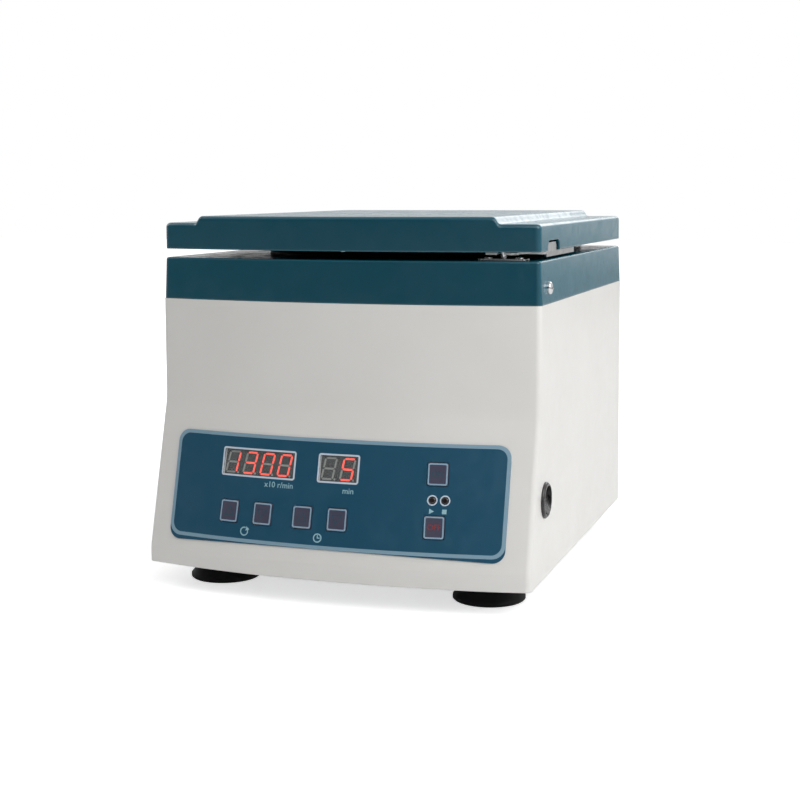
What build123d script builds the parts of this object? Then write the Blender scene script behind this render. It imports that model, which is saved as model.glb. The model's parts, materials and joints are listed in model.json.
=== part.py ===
from build123d import *
import math
import os

# A bench-top high-speed centrifuge: a white housing with a slanted front panel, a deck collar
# round a steel chamber, a hinged lid with a sliding catch, and an angle rotor on its drive motor.
# Millimetres. X is the machine's right, Y its back, Z up, with the origin under the middle.

os.makedirs("parts", exist_ok=True)

# Housing
foot_height = 16.5
housing_width = 260.0
housing_depth = 282.3
housing_height = 173.3
front_bow = 13.8
flare = 25.8
bend_height = 106.0
bend_radius = 40.0
lip_height = 10.0
lip_radius = 12.0
bend_steps = 5
corner_radius = 4.5
wall = 3.0
inner_corner = 2.0
fuse_cap_reach = 5.0

# Collar and deck
collar_height = 27.5
collar_inset = 0.3
collar_taper = 2.2
collar_edge_radius = 1.5
collar_wall = 4.2
deck_thickness = 4.0
rim_rise = 16.0
rim_drop = 8.0
rim_wall = 2.7
rim_root = 0.3
fit_clearance = 0.3

# Lid
lid_gap = 5.6
lid_inset = 1.2
lid_side_height = 17.4
platform_rise = 4.5
shoulder_width = 24.1
shoulder_run = 5.8
lid_edge_radius = 3.0
lid_wall = 3.0
liner_thickness = 2.0
liner_clearance = 0.3
lid_boss_radius = 5.0

# Notch in the lid's right side and the catch that works in it
notch_length = 33.2
notch_height = 6.6
notch_end_radius = 5.0
notch_from_front = 35.5
catch_thickness = 1.5
catch_clearance = 0.3
catch_tab_length = 26.0
catch_tab_height = 5.2
catch_tab_rounding = 2.5
catch_tab_from_notch = 1.7
catch_strip_from_tab = 1.0
catch_head_from_stud = 8.8
catch_arm_from_stud = 6.0
keyhole_clearance = 0.5
throat_width = 12.4
throat_depth = 4.2
catch_strip_length = 80.0
catch_strip_drop = 3.7
catch_arm_width = 13.8
catch_travel = 4.0
catch_head_length = 32.0
catch_head_overhang = 20.0
catch_edge_gap = 1.0
guide_radius = 2.0
guide_head_radius = 4.0
guide_head_height = 1.0
guide_spacing = 46.0
guide_from_front = 54.0
guide_clearance = 0.1
guide_play = 0.1

# Stud on the deck
stud_from_side = 25.5
stud_from_front = 22.2
stud_neck_radius = 2.0
stud_head_radius = 3.2
stud_head_height = 2.0
stud_head_chamfer = 0.6
stud_head_above_gap = 0.05
stud_pocket_clearance = 0.9
stud_plate_corner = 2.0
stud_plate_length = 31.0
stud_plate_width = 13.0
stud_plate_thickness = 1.2
stud_screw_spacing = 20.0

# Hinges
hinge_x = 85.0
hinge_length = 26.0
hinge_middle_length = 9.4
hinge_leaf_depth = 20.0
hinge_leaf_thickness = 1.2
hinge_knuckle_radius = 2.5
hinge_pin_radius = 1.25
hinge_pin_clearance = 0.05
hinge_side_gap = 0.3
hinge_outset = 0.3
hinge_cut = 12.0
hinge_screw_spacing = 15.6
deck_leaf_screw_reach = 14.4
lid_leaf_screw_reach = 8.8

# Screws
small_head_radius = 2.6
small_head_height = 1.3
small_shank_radius = 1.5
small_shank_length = 7.5
collar_head_radius = 4.0
collar_head_height = 3.0
collar_shank_radius = 2.0
collar_screw_drop = 17.5
collar_screw_from_front = 34.4
collar_shank_length = 9.0
base_head_radius = 4.0
base_head_height = 1.8
base_shank_radius = 2.0
base_shank_length = 14.0
recess_depth_share = 0.5
recess_reach_share = 1.1
recess_width_share = 0.28
head_rounding_share = 0.45
thread_clearance = 0.05

# Chamber
chamber_from_back = 137.0
bowl_radius = 86.0
bowl_wall = 1.2
bowl_flange_width = 10.0
bowl_depth = 93.3
bowl_bend = 12.0
bowl_neck_radius = 26.0
seal_from_flange = 4.0
seal_gap = 0.3
seal_lip = 1.6
seal_groove = 1.4
seal_slope = 0.5
seal_width = 10.0
flange_clearance = 0.3
bowl_screw_from_wall = 6.5
bowl_screw_count = 6
bowl_screw_turn = 30.0
bowl_screw_radius = 1.5
bowl_screw_head_radius = 2.7
bowl_screw_head_height = 1.2
bowl_screw_length = 8.0

# Rotor
rotor_radius = 75.0
rotor_height = 58.0
rotor_lift = 7.0
rotor_top_radius = 50.0
rotor_rim_height = 12.0
well_count = 6
well_radius = 8.4
well_length = 56.0
well_tilt = 30.0
well_mouth_radius = 35.0
rotor_cup_radius = 20.0
rotor_cup_depth = 22.0
rotor_hub_radius = 26.0
rotor_underside_depth = 3.0
rotor_skirt = 7.0
well_overrun = 20.0
nut_width = 24.0
nut_height = 13.0
nut_washer_radius = 14.0
nut_washer_height = 2.5
thread_stand = 4.0

# Drive
shaft_radius = 5.0
shaft_shoulder_radius = 9.0
shaft_running_clearance = 0.05
motor_radius = 41.0
motor_height = 82.0
motor_wall = 3.0
motor_face_thickness = 5.0
motor_neck_radius = 19.0
motor_neck_rise = 6.0
end_cap_height = 8.0
bearing_radius = 15.0
bearing_width = 9.0
bearing_lip = 2.0
bearing_inset = 3.0
end_cap_rounding = 2.0
shoulder_clearance = 1.0
shaft_chamfer = 0.8
armature_slots = 12
armature_slot_width = 2.4
armature_slot_depth = 5.0
stator_lift = 22.0
stator_inner_radius = 24.0
stator_length = 40.0
air_gap = 0.8
mount_plate_size = 176.0
mount_plate_thickness = 3.0
mount_plate_corner = 12.0
mount_plate_to_bowl = 7.8
mount_post_spacing = 150.0
mount_post_radius = 7.0
damper_radius = 10.0
damper_height = 14.0
damper_waist_radius = 7.5
motor_bolt_circle = 70.0
motor_bolt_count = 4
motor_bolt_turn = 45.0
motor_bolt_radius = 2.5
motor_bolt_head_radius = 4.25
motor_bolt_head_height = 3.5
motor_bolt_length = 7.0
boot_drop = 3.2
boot_lip = 3.0
boot_rise = 3.0

# Base and feet
base_plate_thickness = 2.0
base_plate_recess = 2.0
base_plate_clearance = 0.4
base_boss_radius = 6.0
base_boss_height = 22.0
base_boss_from_side = 5.0
base_boss_from_back = 17.0
base_boss_from_lip = 26.0
vent_slot_width = 3.0
vent_slot_length = 34.0
vent_slot_pitch = 7.0
rear_vent_count = 9
base_vent_count = 7
foot_radius = 23.5
foot_rim_height = 2.5
foot_shoulder_radius = 20.5
foot_shoulder_height = 6.0
foot_neck_radius = 13.0
foot_neck_height = 13.5
foot_ring_width = 7.0
foot_hollow = 1.2
foot_socket_radius = 6.5
foot_socket_depth = 8.0
foot_x = 93.0
front_foot_from_lip = 53.5
rear_foot_from_back = 50.0
foot_screw_radius = 2.5
foot_screw_head_radius = 5.0
foot_screw_head_height = 3.0
foot_edge = 0.8
foot_nut_radius = 6.0
foot_nut_height = 5.0

# Front panel
panel_width = 228.0
panel_height = 70.0
panel_corner = 8.0
panel_middle = 54.5
overlay_thickness = 0.6
window_clearance = 0.1
window_height = 16.4
display_row = 38.2
speed_display_x = -51.5
speed_display_length = 50.3
time_display_x = 4.6
time_display_length = 25.1
display_height = 19.0
display_depth = 8.0
display_set_back = 1.4
display_clearance = 0.3
display_header_inset = 6.0
display_header_height = 8.0
window_margin = 0.3
key_width = 13.2
key_height = 14.3
key_corner = 1.5
key_proud = 0.5
key_depth = 2.2
key_clearance = 0.3
key_wall_clearance = 0.5
key_stem_radius = 1.5
key_rounding = 0.3
key_row = 70.2
speed_up_x = -69.5
speed_down_x = -45.2
time_up_x = -17.2
time_down_x = 6.6
command_key_x = 69.4
on_key_row = 38.6
off_key_row = 71.6
lamp_row = 54.8
lamp_x = 71.1
lamp_spacing = 8.0
lamp_radius = 2.2
lamp_rise = 0.5
lamp_flange_radius = 3.0
lamp_flange_height = 1.2
lamp_length = 7.0
lamp_clearance = 0.1
lamp_flange_depth = 3.2
lamp_lead_radius = 1.2
lamp_rounding = 1.0
board_depth = 20.0
board_width = 190.0
board_height = 58.0
board_thickness = 1.6
board_boss_x = 88.0
board_boss_row_spacing = 48.0
board_boss_radius = 4.0
boss_root = 1.0
panel_cut = 5.0
panel_reach = 30.0
switch_case_size = 6.2
switch_case_height = 4.3
switch_bore_radius = 1.9
switch_bore_depth = 2.8
stem_entry = 1.2

# Power switch on the right side
power_switch_from_front = 25.75
power_switch_height = 50.0
power_bezel_radius = 11.5
power_bezel_height = 2.0
power_bezel_slope = 1.2
power_body_radius = 10.6
power_body_depth = 20.0
power_hole_clearance = 0.1
rocker_radius = 9.0
rocker_half_width = 12.0
rocker_half_zone = 7.0
rocker_clearance = 0.2
rocker_pivot_depth = 1.0
rocker_half_angle = 11.0
rocker_crown = 0.4
rocker_root = 4.0
rocker_cavity = 6.5
rocker_trunnion_radius = 1.0
rocker_trunnion_length = 9.8
rocker_trunnion_clearance = 0.08

# Rear panel
inlet_x = 70.0
inlet_height = 42.0
inlet_flange_width = 50.0
inlet_flange_height = 23.0
inlet_flange_thickness = 2.4
inlet_body_width = 28.0
inlet_body_height = 20.0
inlet_body_depth = 24.0
inlet_socket_width = 24.0
inlet_socket_height = 16.4
inlet_socket_depth = 15.0
inlet_socket_chamfer = 4.0
inlet_pin_spacing = 7.0
inlet_pin_offset = 2.0
inlet_pin_width = 2.0
inlet_pin_height = 4.0
inlet_pin_length = 11.0
inlet_pin_root = 4.0
inlet_screw_spacing = 40.0
inlet_clearance = 0.2
inlet_corner = 3.0
fuse_x = 28.0
fuse_cap_radius = 7.0
fuse_body_radius = 6.2
fuse_body_length = 30.0
fuse_slot_width = 1.6
fuse_slot_depth = 1.5
rear_vent_x = -50.0
rear_vent_height = 60.0

# Driver board inside
driver_board_x = -104.0
driver_board_y = 0.0
driver_board_width = 34.0
driver_board_length = 104.0
driver_stand_height = 10.0
driver_stand_radius = 3.0
driver_stand_inset = 5.0
heat_sink_width = 22.0
heat_sink_length = 60.0
heat_sink_base = 4.0
heat_sink_height = 24.0
heat_sink_fin = 2.0
heat_sink_fins = 5
heat_sink_shift = 12.0
capacitor_radius = 7.0
capacitor_height = 26.0
capacitor_spacing = 15.5
capacitor_from_end = 20.0
liner_screw_from_side = 16.8
liner_screw_from_front = 40.0
liner_screw_from_back = 24.0
liner_screw_from_edge = 14.0

# Levels and places that follow
total_depth = flare + housing_depth + fuse_cap_reach
front_y = flare - total_depth / 2
back_y = total_depth / 2 - fuse_cap_reach
half_width = housing_width / 2
housing_top = foot_height + housing_height
deck_top = housing_top + collar_height
deck_underside = deck_top - deck_thickness
lid_bottom = deck_top + lid_gap
shoulder_top = lid_bottom + lid_side_height
lid_top = shoulder_top + platform_rise
chamber_y = back_y - chamber_from_back
bowl_floor = deck_top - bowl_depth
rotor_bottom = bowl_floor + rotor_lift
rotor_top = rotor_bottom + rotor_height
rotor_cup_floor = rotor_top - rotor_cup_depth
mount_plate_bottom = bowl_floor - bowl_wall - mount_plate_to_bowl
mount_plate_top = mount_plate_bottom + mount_plate_thickness
motor_bottom = mount_plate_bottom - motor_height
base_bottom = foot_height + base_plate_recess
base_top = base_bottom + base_plate_thickness
slope_angle = math.atan2(flare, bend_height - lip_height)
bow_radius = (half_width ** 2 + front_bow ** 2) / (2 * front_bow)
hinge_y = back_y - lid_inset + hinge_outset
hinge_z = deck_top + lid_gap / 2
lid_half_width = half_width - lid_inset
stud_x = lid_half_width - stud_from_side
stud_y = front_y + lid_inset + stud_from_front
liner_screw_x = lid_half_width - liner_screw_from_side
shoulder_x = lid_half_width - shoulder_width
platform_x = shoulder_x - shoulder_run
bowl_flange_radius = bowl_radius + bowl_flange_width
bowl_screw_circle = bowl_radius + bowl_screw_from_wall
seal_radius = bowl_flange_radius + seal_from_flange
rim_inset = collar_inset + collar_wall + fit_clearance
motor_neck_top = mount_plate_top + motor_neck_rise
motor_cap_top = motor_bottom + end_cap_height
stator_bottom = motor_bottom + stator_lift
boot_bottom = bowl_floor - boot_drop
driver_board_top = base_top + driver_stand_height + board_thickness
rocker_zone_edge = math.sqrt(rocker_radius ** 2 - rocker_half_zone ** 2)
rocker_wing = rocker_half_width * math.tan(math.radians(rocker_half_angle))
notch_front = front_y + notch_from_front
tab_front = notch_front + catch_tab_from_notch
strip_front = tab_front - catch_strip_from_tab
strip_back = strip_front + catch_strip_length
catch_x = lid_half_width - catch_edge_gap
catch_arm_left = catch_x - catch_arm_width
catch_head_left = catch_arm_left - catch_head_overhang
catch_slot_half = stud_neck_radius + catch_clearance
catch_bottom = lid_bottom - catch_clearance - catch_thickness
catch_head_front = stud_y - catch_head_from_stud
catch_arm_front = stud_y + catch_arm_from_stud
throat_front = stud_y - math.sqrt((stud_head_radius + keyhole_clearance) ** 2 - catch_slot_half ** 2)
stud_head_bottom = lid_bottom + stud_head_above_gap



def export(piece, name):
    """Labels a finished piece and writes its STEP file."""
    piece.part.label = name
    export_step(piece.part, f"parts/{name}.step")


def turns(count, first):
    """Equal turns about an axis in radians, from a first one given in degrees."""
    return [math.radians(first) + 2 * math.pi * number / count for number in range(count)]


def bow_at(x):
    """How far the bowed front lies behind its foremost line at one x."""
    return bow_radius - math.sqrt(bow_radius ** 2 - x ** 2)


def plan_face(z, inset=0.0, forward=0.0, corner=corner_radius):
    """The machine's bowed plan outline at one level, set in from the housing's walls."""
    side = half_width - inset
    front = front_y - forward + inset
    back = back_y - inset
    with BuildSketch(Plane.XY.offset(z)) as plan:
        with BuildLine():
            ThreePointArc((-side, front + front_bow), (0, front), (side, front + front_bow))
            Polyline((side, front + front_bow), (side, back), (-side, back), (-side, front + front_bow))
        make_face()
        fillet(plan.vertices(), corner)
    return plan.sketch


def front_profile():
    """Heights above the housing's lower edge, each with how far the front stands forward there."""
    rounding = math.tan(slope_angle / 2)
    bend_top = bend_height + bend_radius * rounding
    lip_top = lip_height - lip_radius * rounding
    points = [(housing_height, 0.0)]
    for step in range(bend_steps + 1):
        turn = slope_angle * step / bend_steps
        points.append((bend_top - bend_radius * math.sin(turn), bend_radius * (1 - math.cos(turn))))
    for step in range(bend_steps + 1):
        turn = slope_angle * (1 - step / bend_steps)
        points.append((lip_top + lip_radius * math.sin(turn), flare - lip_radius * (1 - math.cos(turn))))
    points.append((0.0, flare))
    return points


def housing_layers(inset=0.0, proud=0.0, corner=corner_radius):
    """The plan outlines of the housing from top to bottom, for a loft."""
    return [
        plan_face(foot_height + height, inset, forward + proud, corner)
        for height, forward in front_profile()
    ]


def panel_plane(x, drop, depth=0.0):
    """A plane on the panel slope, drop down it from the bend, facing outwards, depth behind the surface."""
    turn = math.asin(x / bow_radius)
    across = Vector(math.cos(turn), math.sin(turn), 0)
    up_slope = Vector(0, math.sin(slope_angle), math.cos(slope_angle))
    outwards = across.cross(up_slope).normalized()
    spot = Vector(x, front_y + bow_at(x), foot_height + bend_height) - up_slope * drop
    return Plane(origin=spot - outwards * depth, x_dir=across, z_dir=outwards)


def board_plane(depth):
    """A plane parallel to the panel's middle, depth behind its foremost line, origin at the bend."""
    return panel_plane(0, 0, depth)


def spot_on_board(x, drop):
    """Where a point of the panel lies on a board plane, seen straight through the panel."""
    return (x, -drop - bow_at(x) * math.sin(slope_angle))


def screw(head_radius, head_height, shank_radius, shank_length):
    """One pan head screw with its head above the XY plane and a cross recess in it."""
    with BuildPart() as piece:
        Cylinder(head_radius, head_height, align=(Align.CENTER, Align.CENTER, Align.MIN))
        fillet(piece.faces().sort_by(Axis.Z)[-1].edges(), head_height * head_rounding_share)
        Cylinder(shank_radius, shank_length, align=(Align.CENTER, Align.CENTER, Align.MAX))
        with BuildSketch(Plane.XY.offset(head_height)):
            Rectangle(head_radius * recess_reach_share, head_radius * recess_width_share)
            Rectangle(head_radius * recess_width_share, head_radius * recess_reach_share)
        extrude(amount=-head_height * recess_depth_share, mode=Mode.SUBTRACT)
    return piece.part


def depth_to_board(x, drop):
    """How far behind the panel's surface the control board lies, along the surface's own normal."""
    spot = panel_plane(x, drop)
    board = board_plane(board_depth)
    return (spot.origin - board.origin).dot(board.z_dir) / spot.z_dir.dot(board.z_dir)


def stem_foot(x, drop):
    """Where a key's stem meets its switch, in the control board's own coordinates."""
    spot = panel_plane(x, drop, depth_to_board(x, drop) - switch_case_height)
    local = board_plane(board_depth).to_local_coords(spot.origin)
    return (local.X, local.Y)


def rocker_point(out, up):
    """A point of the rocker's section, turned from its middle position to the rest position."""
    turn = math.radians(rocker_half_angle)
    return (out * math.cos(turn) - up * math.sin(turn), out * math.sin(turn) + up * math.cos(turn))


def well_plane(number):
    """The mouth of one rotor well, facing up along the well."""
    turn = 2 * math.pi * number / well_count
    tilt = math.radians(well_tilt)
    outward = Vector(math.cos(turn), math.sin(turn), 0)
    mouth = Vector(0, chamber_y, rotor_top) + outward * well_mouth_radius
    up = Vector(0, 0, math.cos(tilt)) - outward * math.sin(tilt)
    return Plane(origin=mouth, x_dir=outward.cross(Vector(0, 0, 1)), z_dir=up)


# Places of screws and bosses
key_places = {
    "key_speed_up": (speed_up_x, key_row),
    "key_speed_down": (speed_down_x, key_row),
    "key_time_up": (time_up_x, key_row),
    "key_time_down": (time_down_x, key_row),
    "key_on": (command_key_x, on_key_row),
    "key_off": (command_key_x, off_key_row),
}
lamp_places = [(lamp_x - lamp_spacing / 2, lamp_row), (lamp_x + lamp_spacing / 2, lamp_row)]
display_places = [(speed_display_x, speed_display_length), (time_display_x, time_display_length)]
board_boss_places = [
    (side * board_boss_x, panel_middle + row * board_boss_row_spacing / 2)
    for side in (-1, 1) for row in (-1, 1)
]
motor_bolt_spots = [
    (motor_bolt_circle / 2 * math.cos(turn), chamber_y + motor_bolt_circle / 2 * math.sin(turn))
    for turn in turns(motor_bolt_count, motor_bolt_turn)
]
guide_spots = [
    (catch_arm_left + catch_arm_width / 2 - catch_thickness / 2,
     front_y + guide_from_front + step * guide_spacing)
    for step in (0, 1)
]
inlet_pin_spots = [(-inlet_pin_spacing, -inlet_pin_offset), (inlet_pin_spacing, -inlet_pin_offset),
                   (0, inlet_pin_offset)]
collar_side = half_width - collar_inset - math.tan(math.radians(collar_taper)) * (collar_height
                                                                                  - collar_screw_drop)
collar_back = back_y - (half_width - collar_side)
collar_screw_z = deck_top - collar_screw_drop
collar_screw_y = front_y + collar_screw_from_front
collar_screw_planes = [
    Plane(origin=(side * collar_side, collar_screw_y, collar_screw_z), x_dir=(0, 1, 0),
          z_dir=(side, 0, math.tan(math.radians(collar_taper))))
    for side in (-1, 1)
] + [
    Plane(origin=(side * hinge_x, collar_back, collar_screw_z), x_dir=(1, 0, 0),
          z_dir=(0, 1, math.tan(math.radians(collar_taper))))
    for side in (-1, 1)
]
stud_screw_spots = [(stud_x + side * stud_screw_spacing / 2, stud_y) for side in (-1, 1)]
deck_leaf_screw_spots = [
    (side * hinge_x + step * hinge_screw_spacing / 2, hinge_y - deck_leaf_screw_reach)
    for side in (-1, 1) for step in (-1, 1)
]
lid_leaf_screw_spots = [
    (side * hinge_x + step * hinge_screw_spacing / 2, hinge_y - lid_leaf_screw_reach)
    for side in (-1, 1) for step in (-1, 1)
]
base_boss_spots = [
    (side * (half_width - wall - base_boss_from_side), y)
    for side in (-1, 1)
    for y in (front_y - flare + base_boss_from_lip, back_y - base_boss_from_back)
]
foot_spots = {
    "foot_front_left": (-foot_x, front_y - flare + front_foot_from_lip),
    "foot_front_right": (foot_x, front_y - flare + front_foot_from_lip),
    "foot_rear_left": (-foot_x, back_y - rear_foot_from_back),
    "foot_rear_right": (foot_x, back_y - rear_foot_from_back),
}
mount_post_spots = [
    (x * mount_post_spacing / 2, chamber_y + y * mount_post_spacing / 2)
    for x in (-1, 1) for y in (-1, 1)
]
driver_stand_spots = [
    (driver_board_x + x * (driver_board_width / 2 - driver_stand_inset),
     driver_board_y + y * (driver_board_length / 2 - driver_stand_inset))
    for x in (-1, 1) for y in (-1, 1)
]
liner_screw_spots = [
    (-liner_screw_x, front_y + liner_screw_from_front), (-liner_screw_x, chamber_y),
    (-liner_screw_x, back_y - liner_screw_from_back), (liner_screw_x, back_y - liner_screw_from_back),
    (0, front_y + liner_screw_from_edge), (0, back_y - liner_screw_from_edge),
]
lid_boss_spots = liner_screw_spots + lid_leaf_screw_spots
bowl_screw_spots = [
    (bowl_screw_circle * math.cos(turn), chamber_y + bowl_screw_circle * math.sin(turn))
    for turn in turns(bowl_screw_count, bowl_screw_turn)
]
power_switch_y = front_y + power_switch_from_front
power_switch_z = foot_height + power_switch_height
rocker_pivot_x = half_width - rocker_pivot_depth
power_plane = Plane(origin=(half_width, power_switch_y, power_switch_z), x_dir=(0, 1, 0), z_dir=(1, 0, 0))
inlet_plane = Plane(origin=(inlet_x, back_y, foot_height + inlet_height), x_dir=(-1, 0, 0), z_dir=(0, 1, 0))
fuse_plane = Plane(origin=(fuse_x, back_y, foot_height + inlet_height), x_dir=(-1, 0, 0), z_dir=(0, 1, 0))
rear_vent_plane = Plane(origin=(rear_vent_x, back_y, foot_height + rear_vent_height), x_dir=(-1, 0, 0),
                        z_dir=(0, 1, 0))
chamber_plane = Plane(origin=(0, chamber_y, 0), x_dir=(1, 0, 0), z_dir=(0, -1, 0))
chamber_axis = Axis((0, chamber_y, 0), (0, 0, 1))
key_planes = [panel_plane(x, row) for x, row in key_places.values()]
lamp_planes = [panel_plane(x, row) for x, row in lamp_places]
small_screw = screw(small_head_radius, small_head_height, small_shank_radius, small_shank_length)
collar_screw = screw(collar_head_radius, collar_head_height, collar_shank_radius, collar_shank_length)
base_screw = screw(base_head_radius, base_head_height, base_shank_radius, base_shank_length)
motor_bolt = screw(motor_bolt_head_radius, motor_bolt_head_height, motor_bolt_radius, motor_bolt_length)

# Housing
with BuildPart() as housing_shell:
    loft(housing_layers(), ruled=True)
    loft(housing_layers(wall, corner=inner_corner), ruled=True, mode=Mode.SUBTRACT)
    # Rim that the collar slips over
    with BuildSketch(Plane.XY.offset(housing_top - rim_drop)):
        add(plan_face(0, wall - rim_root, corner=inner_corner))
        add(plan_face(0, rim_inset + rim_wall, corner=inner_corner), mode=Mode.SUBTRACT)
    extrude(amount=rim_drop)
    with BuildSketch(Plane.XY.offset(housing_top)):
        add(plan_face(0, rim_inset, corner=inner_corner))
        add(plan_face(0, rim_inset + rim_wall, corner=inner_corner), mode=Mode.SUBTRACT)
    extrude(amount=rim_rise)
    # Bosses for the base screws and the control board
    with Locations(*[(x, y, base_top) for x, y in base_boss_spots]):
        Cylinder(base_boss_radius, base_boss_height, align=(Align.CENTER, Align.CENTER, Align.MIN))
    for x, row in board_boss_places:
        with BuildSketch(board_plane(board_depth)):
            with Locations(spot_on_board(x, row)):
                Circle(board_boss_radius)
        extrude(amount=depth_to_board(x, row) - boss_root)
    # Openings of the front panel
    for x, length in display_places:
        with BuildSketch(panel_plane(x, display_row)):
            Rectangle(length + 2 * display_clearance, display_height + 2 * display_clearance)
        extrude(amount=panel_cut, both=True, mode=Mode.SUBTRACT)
    with BuildSketch(*key_planes):
        RectangleRounded(key_width + 2 * key_wall_clearance, key_height + 2 * key_wall_clearance, key_corner)
    extrude(amount=panel_cut, both=True, mode=Mode.SUBTRACT)
    with BuildSketch(*lamp_planes):
        Circle(lamp_radius + lamp_clearance)
    extrude(amount=panel_cut, both=True, mode=Mode.SUBTRACT)
    # Holes for the collar screws, base screws and board screws
    for plane in collar_screw_planes:
        with BuildSketch(plane):
            Circle(collar_shank_radius + thread_clearance)
        extrude(amount=-collar_shank_length, mode=Mode.SUBTRACT)
    with Locations(*[(x, y, base_top) for x, y in base_boss_spots]):
        Cylinder(base_shank_radius + thread_clearance, base_shank_length,
                 align=(Align.CENTER, Align.CENTER, Align.MIN), mode=Mode.SUBTRACT)
    with BuildSketch(board_plane(board_depth)):
        with Locations(*[spot_on_board(x, row) for x, row in board_boss_places]):
            Circle(small_shank_radius + thread_clearance)
    extrude(amount=small_shank_length, mode=Mode.SUBTRACT)
    # Power switch, inlet, fuse holder and vents
    with BuildSketch(power_plane):
        Circle(power_body_radius + power_hole_clearance)
    extrude(amount=-wall, mode=Mode.SUBTRACT)
    with BuildSketch(inlet_plane):
        Rectangle(inlet_body_width + 2 * inlet_clearance, inlet_body_height + 2 * inlet_clearance)
        with Locations((-inlet_screw_spacing / 2, 0), (inlet_screw_spacing / 2, 0)):
            Circle(small_shank_radius + thread_clearance)
    extrude(amount=-wall, mode=Mode.SUBTRACT)
    with BuildSketch(fuse_plane):
        Circle(fuse_body_radius + inlet_clearance)
    extrude(amount=-wall, mode=Mode.SUBTRACT)
    with BuildSketch(rear_vent_plane):
        with GridLocations(vent_slot_pitch, 1, rear_vent_count, 1):
            SlotOverall(vent_slot_length, vent_slot_width, rotation=90)
    extrude(amount=-wall, mode=Mode.SUBTRACT)
export(housing_shell, "housing_shell")

with BuildPart() as deck_collar:
    extrude(plan_face(housing_top, collar_inset), amount=collar_height, taper=collar_taper)
    fillet(deck_collar.faces().sort_by(Axis.Z)[-1].edges(), collar_edge_radius)
    with BuildSketch(Plane.XY.offset(housing_top)):
        add(plan_face(0, collar_inset + collar_wall, corner=inner_corner))
    extrude(amount=collar_height - deck_thickness, mode=Mode.SUBTRACT)
    # Chamber opening with a seat for the bowl's flange
    with Locations((0, chamber_y, deck_top)):
        Cylinder(bowl_flange_radius + flange_clearance, bowl_wall,
                 align=(Align.CENTER, Align.CENTER, Align.MAX), mode=Mode.SUBTRACT)
        Cylinder(bowl_radius + bowl_wall + flange_clearance, deck_thickness,
                 align=(Align.CENTER, Align.CENTER, Align.MAX), mode=Mode.SUBTRACT)
    # Screw holes
    with Locations(*[(x, y, deck_top) for x, y in stud_screw_spots + deck_leaf_screw_spots]):
        Cylinder(small_shank_radius + thread_clearance, deck_thickness,
                 align=(Align.CENTER, Align.CENTER, Align.MAX), mode=Mode.SUBTRACT)
    with Locations((stud_x, stud_y, deck_top)):
        Cylinder(stud_neck_radius + thread_clearance, deck_thickness,
                 align=(Align.CENTER, Align.CENTER, Align.MAX), mode=Mode.SUBTRACT)
    with Locations(*[(x, y, deck_top) for x, y in bowl_screw_spots]):
        Cylinder(bowl_screw_radius + thread_clearance, deck_thickness,
                 align=(Align.CENTER, Align.CENTER, Align.MAX), mode=Mode.SUBTRACT)
    for plane in collar_screw_planes:
        with BuildSketch(plane):
            Circle(collar_shank_radius + thread_clearance)
        extrude(amount=-collar_wall - collar_inset, mode=Mode.SUBTRACT)
export(deck_collar, "deck_collar")

with BuildPart() as collar_screws:
    for plane in collar_screw_planes:
        with Locations(plane):
            add(collar_screw)
export(collar_screws, "collar_screws")

# Base and feet
with BuildPart() as base_plate:
    with BuildSketch(Plane.XY.offset(base_bottom)):
        add(plan_face(0, wall + base_plate_clearance, flare, inner_corner))
        with Locations(*base_boss_spots):
            Circle(base_shank_radius + thread_clearance, mode=Mode.SUBTRACT)
        with Locations(*foot_spots.values()):
            Circle(foot_screw_radius + thread_clearance, mode=Mode.SUBTRACT)
        with Locations((0, chamber_y)):
            with GridLocations(1, vent_slot_pitch, 1, base_vent_count):
                SlotOverall(vent_slot_length, vent_slot_width, mode=Mode.SUBTRACT)
    extrude(amount=base_plate_thickness)
    with BuildSketch(Plane.XY.offset(base_top)):
        with Locations(*mount_post_spots):
            Circle(mount_post_radius)
    extrude(amount=mount_plate_bottom - damper_height - base_top)
    # Threaded collars over the feet and stand-offs under the driver board
    with BuildSketch(Plane.XY.offset(base_top)):
        with Locations(*foot_spots.values()):
            Circle(foot_nut_radius)
            Circle(foot_screw_radius + thread_clearance, mode=Mode.SUBTRACT)
    extrude(amount=foot_nut_height)
    with BuildSketch(Plane.XY.offset(base_top)):
        with Locations(*driver_stand_spots):
            Circle(driver_stand_radius)
    extrude(amount=driver_stand_height)
    with BuildSketch(Plane.XY.offset(base_top + driver_stand_height)):
        with Locations(*driver_stand_spots):
            Circle(small_shank_radius + thread_clearance)
    extrude(amount=-driver_stand_height, mode=Mode.SUBTRACT)
export(base_plate, "base_plate")

with BuildPart() as base_screws:
    for x, y in base_boss_spots:
        with Locations(Plane(origin=(x, y, base_bottom), x_dir=(1, 0, 0), z_dir=(0, 0, -1))):
            add(base_screw)
export(base_screws, "base_screws")

for foot_name, (foot_at_x, foot_at_y) in foot_spots.items():
    with BuildPart() as foot:
        with BuildSketch(Plane(origin=(foot_at_x, foot_at_y, 0), x_dir=(1, 0, 0), z_dir=(0, -1, 0))):
            with BuildLine():
                Polyline((foot_screw_radius, foot_hollow), (foot_radius - foot_ring_width, foot_hollow),
                         (foot_radius - foot_ring_width, 0), (foot_radius - foot_edge, 0),
                         (foot_radius, foot_edge), (foot_radius, foot_rim_height),
                         (foot_shoulder_radius, foot_shoulder_height), (foot_neck_radius, foot_neck_height),
                         (foot_neck_radius, base_bottom), (foot_screw_radius, base_bottom), close=True)
            make_face()
        revolve(axis=Axis((foot_at_x, foot_at_y, 0), (0, 0, 1)))
        with Locations((foot_at_x, foot_at_y, 0)):
            Cylinder(foot_socket_radius, foot_socket_depth,
                     align=(Align.CENTER, Align.CENTER, Align.MIN), mode=Mode.SUBTRACT)
    export(foot, foot_name)

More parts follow.
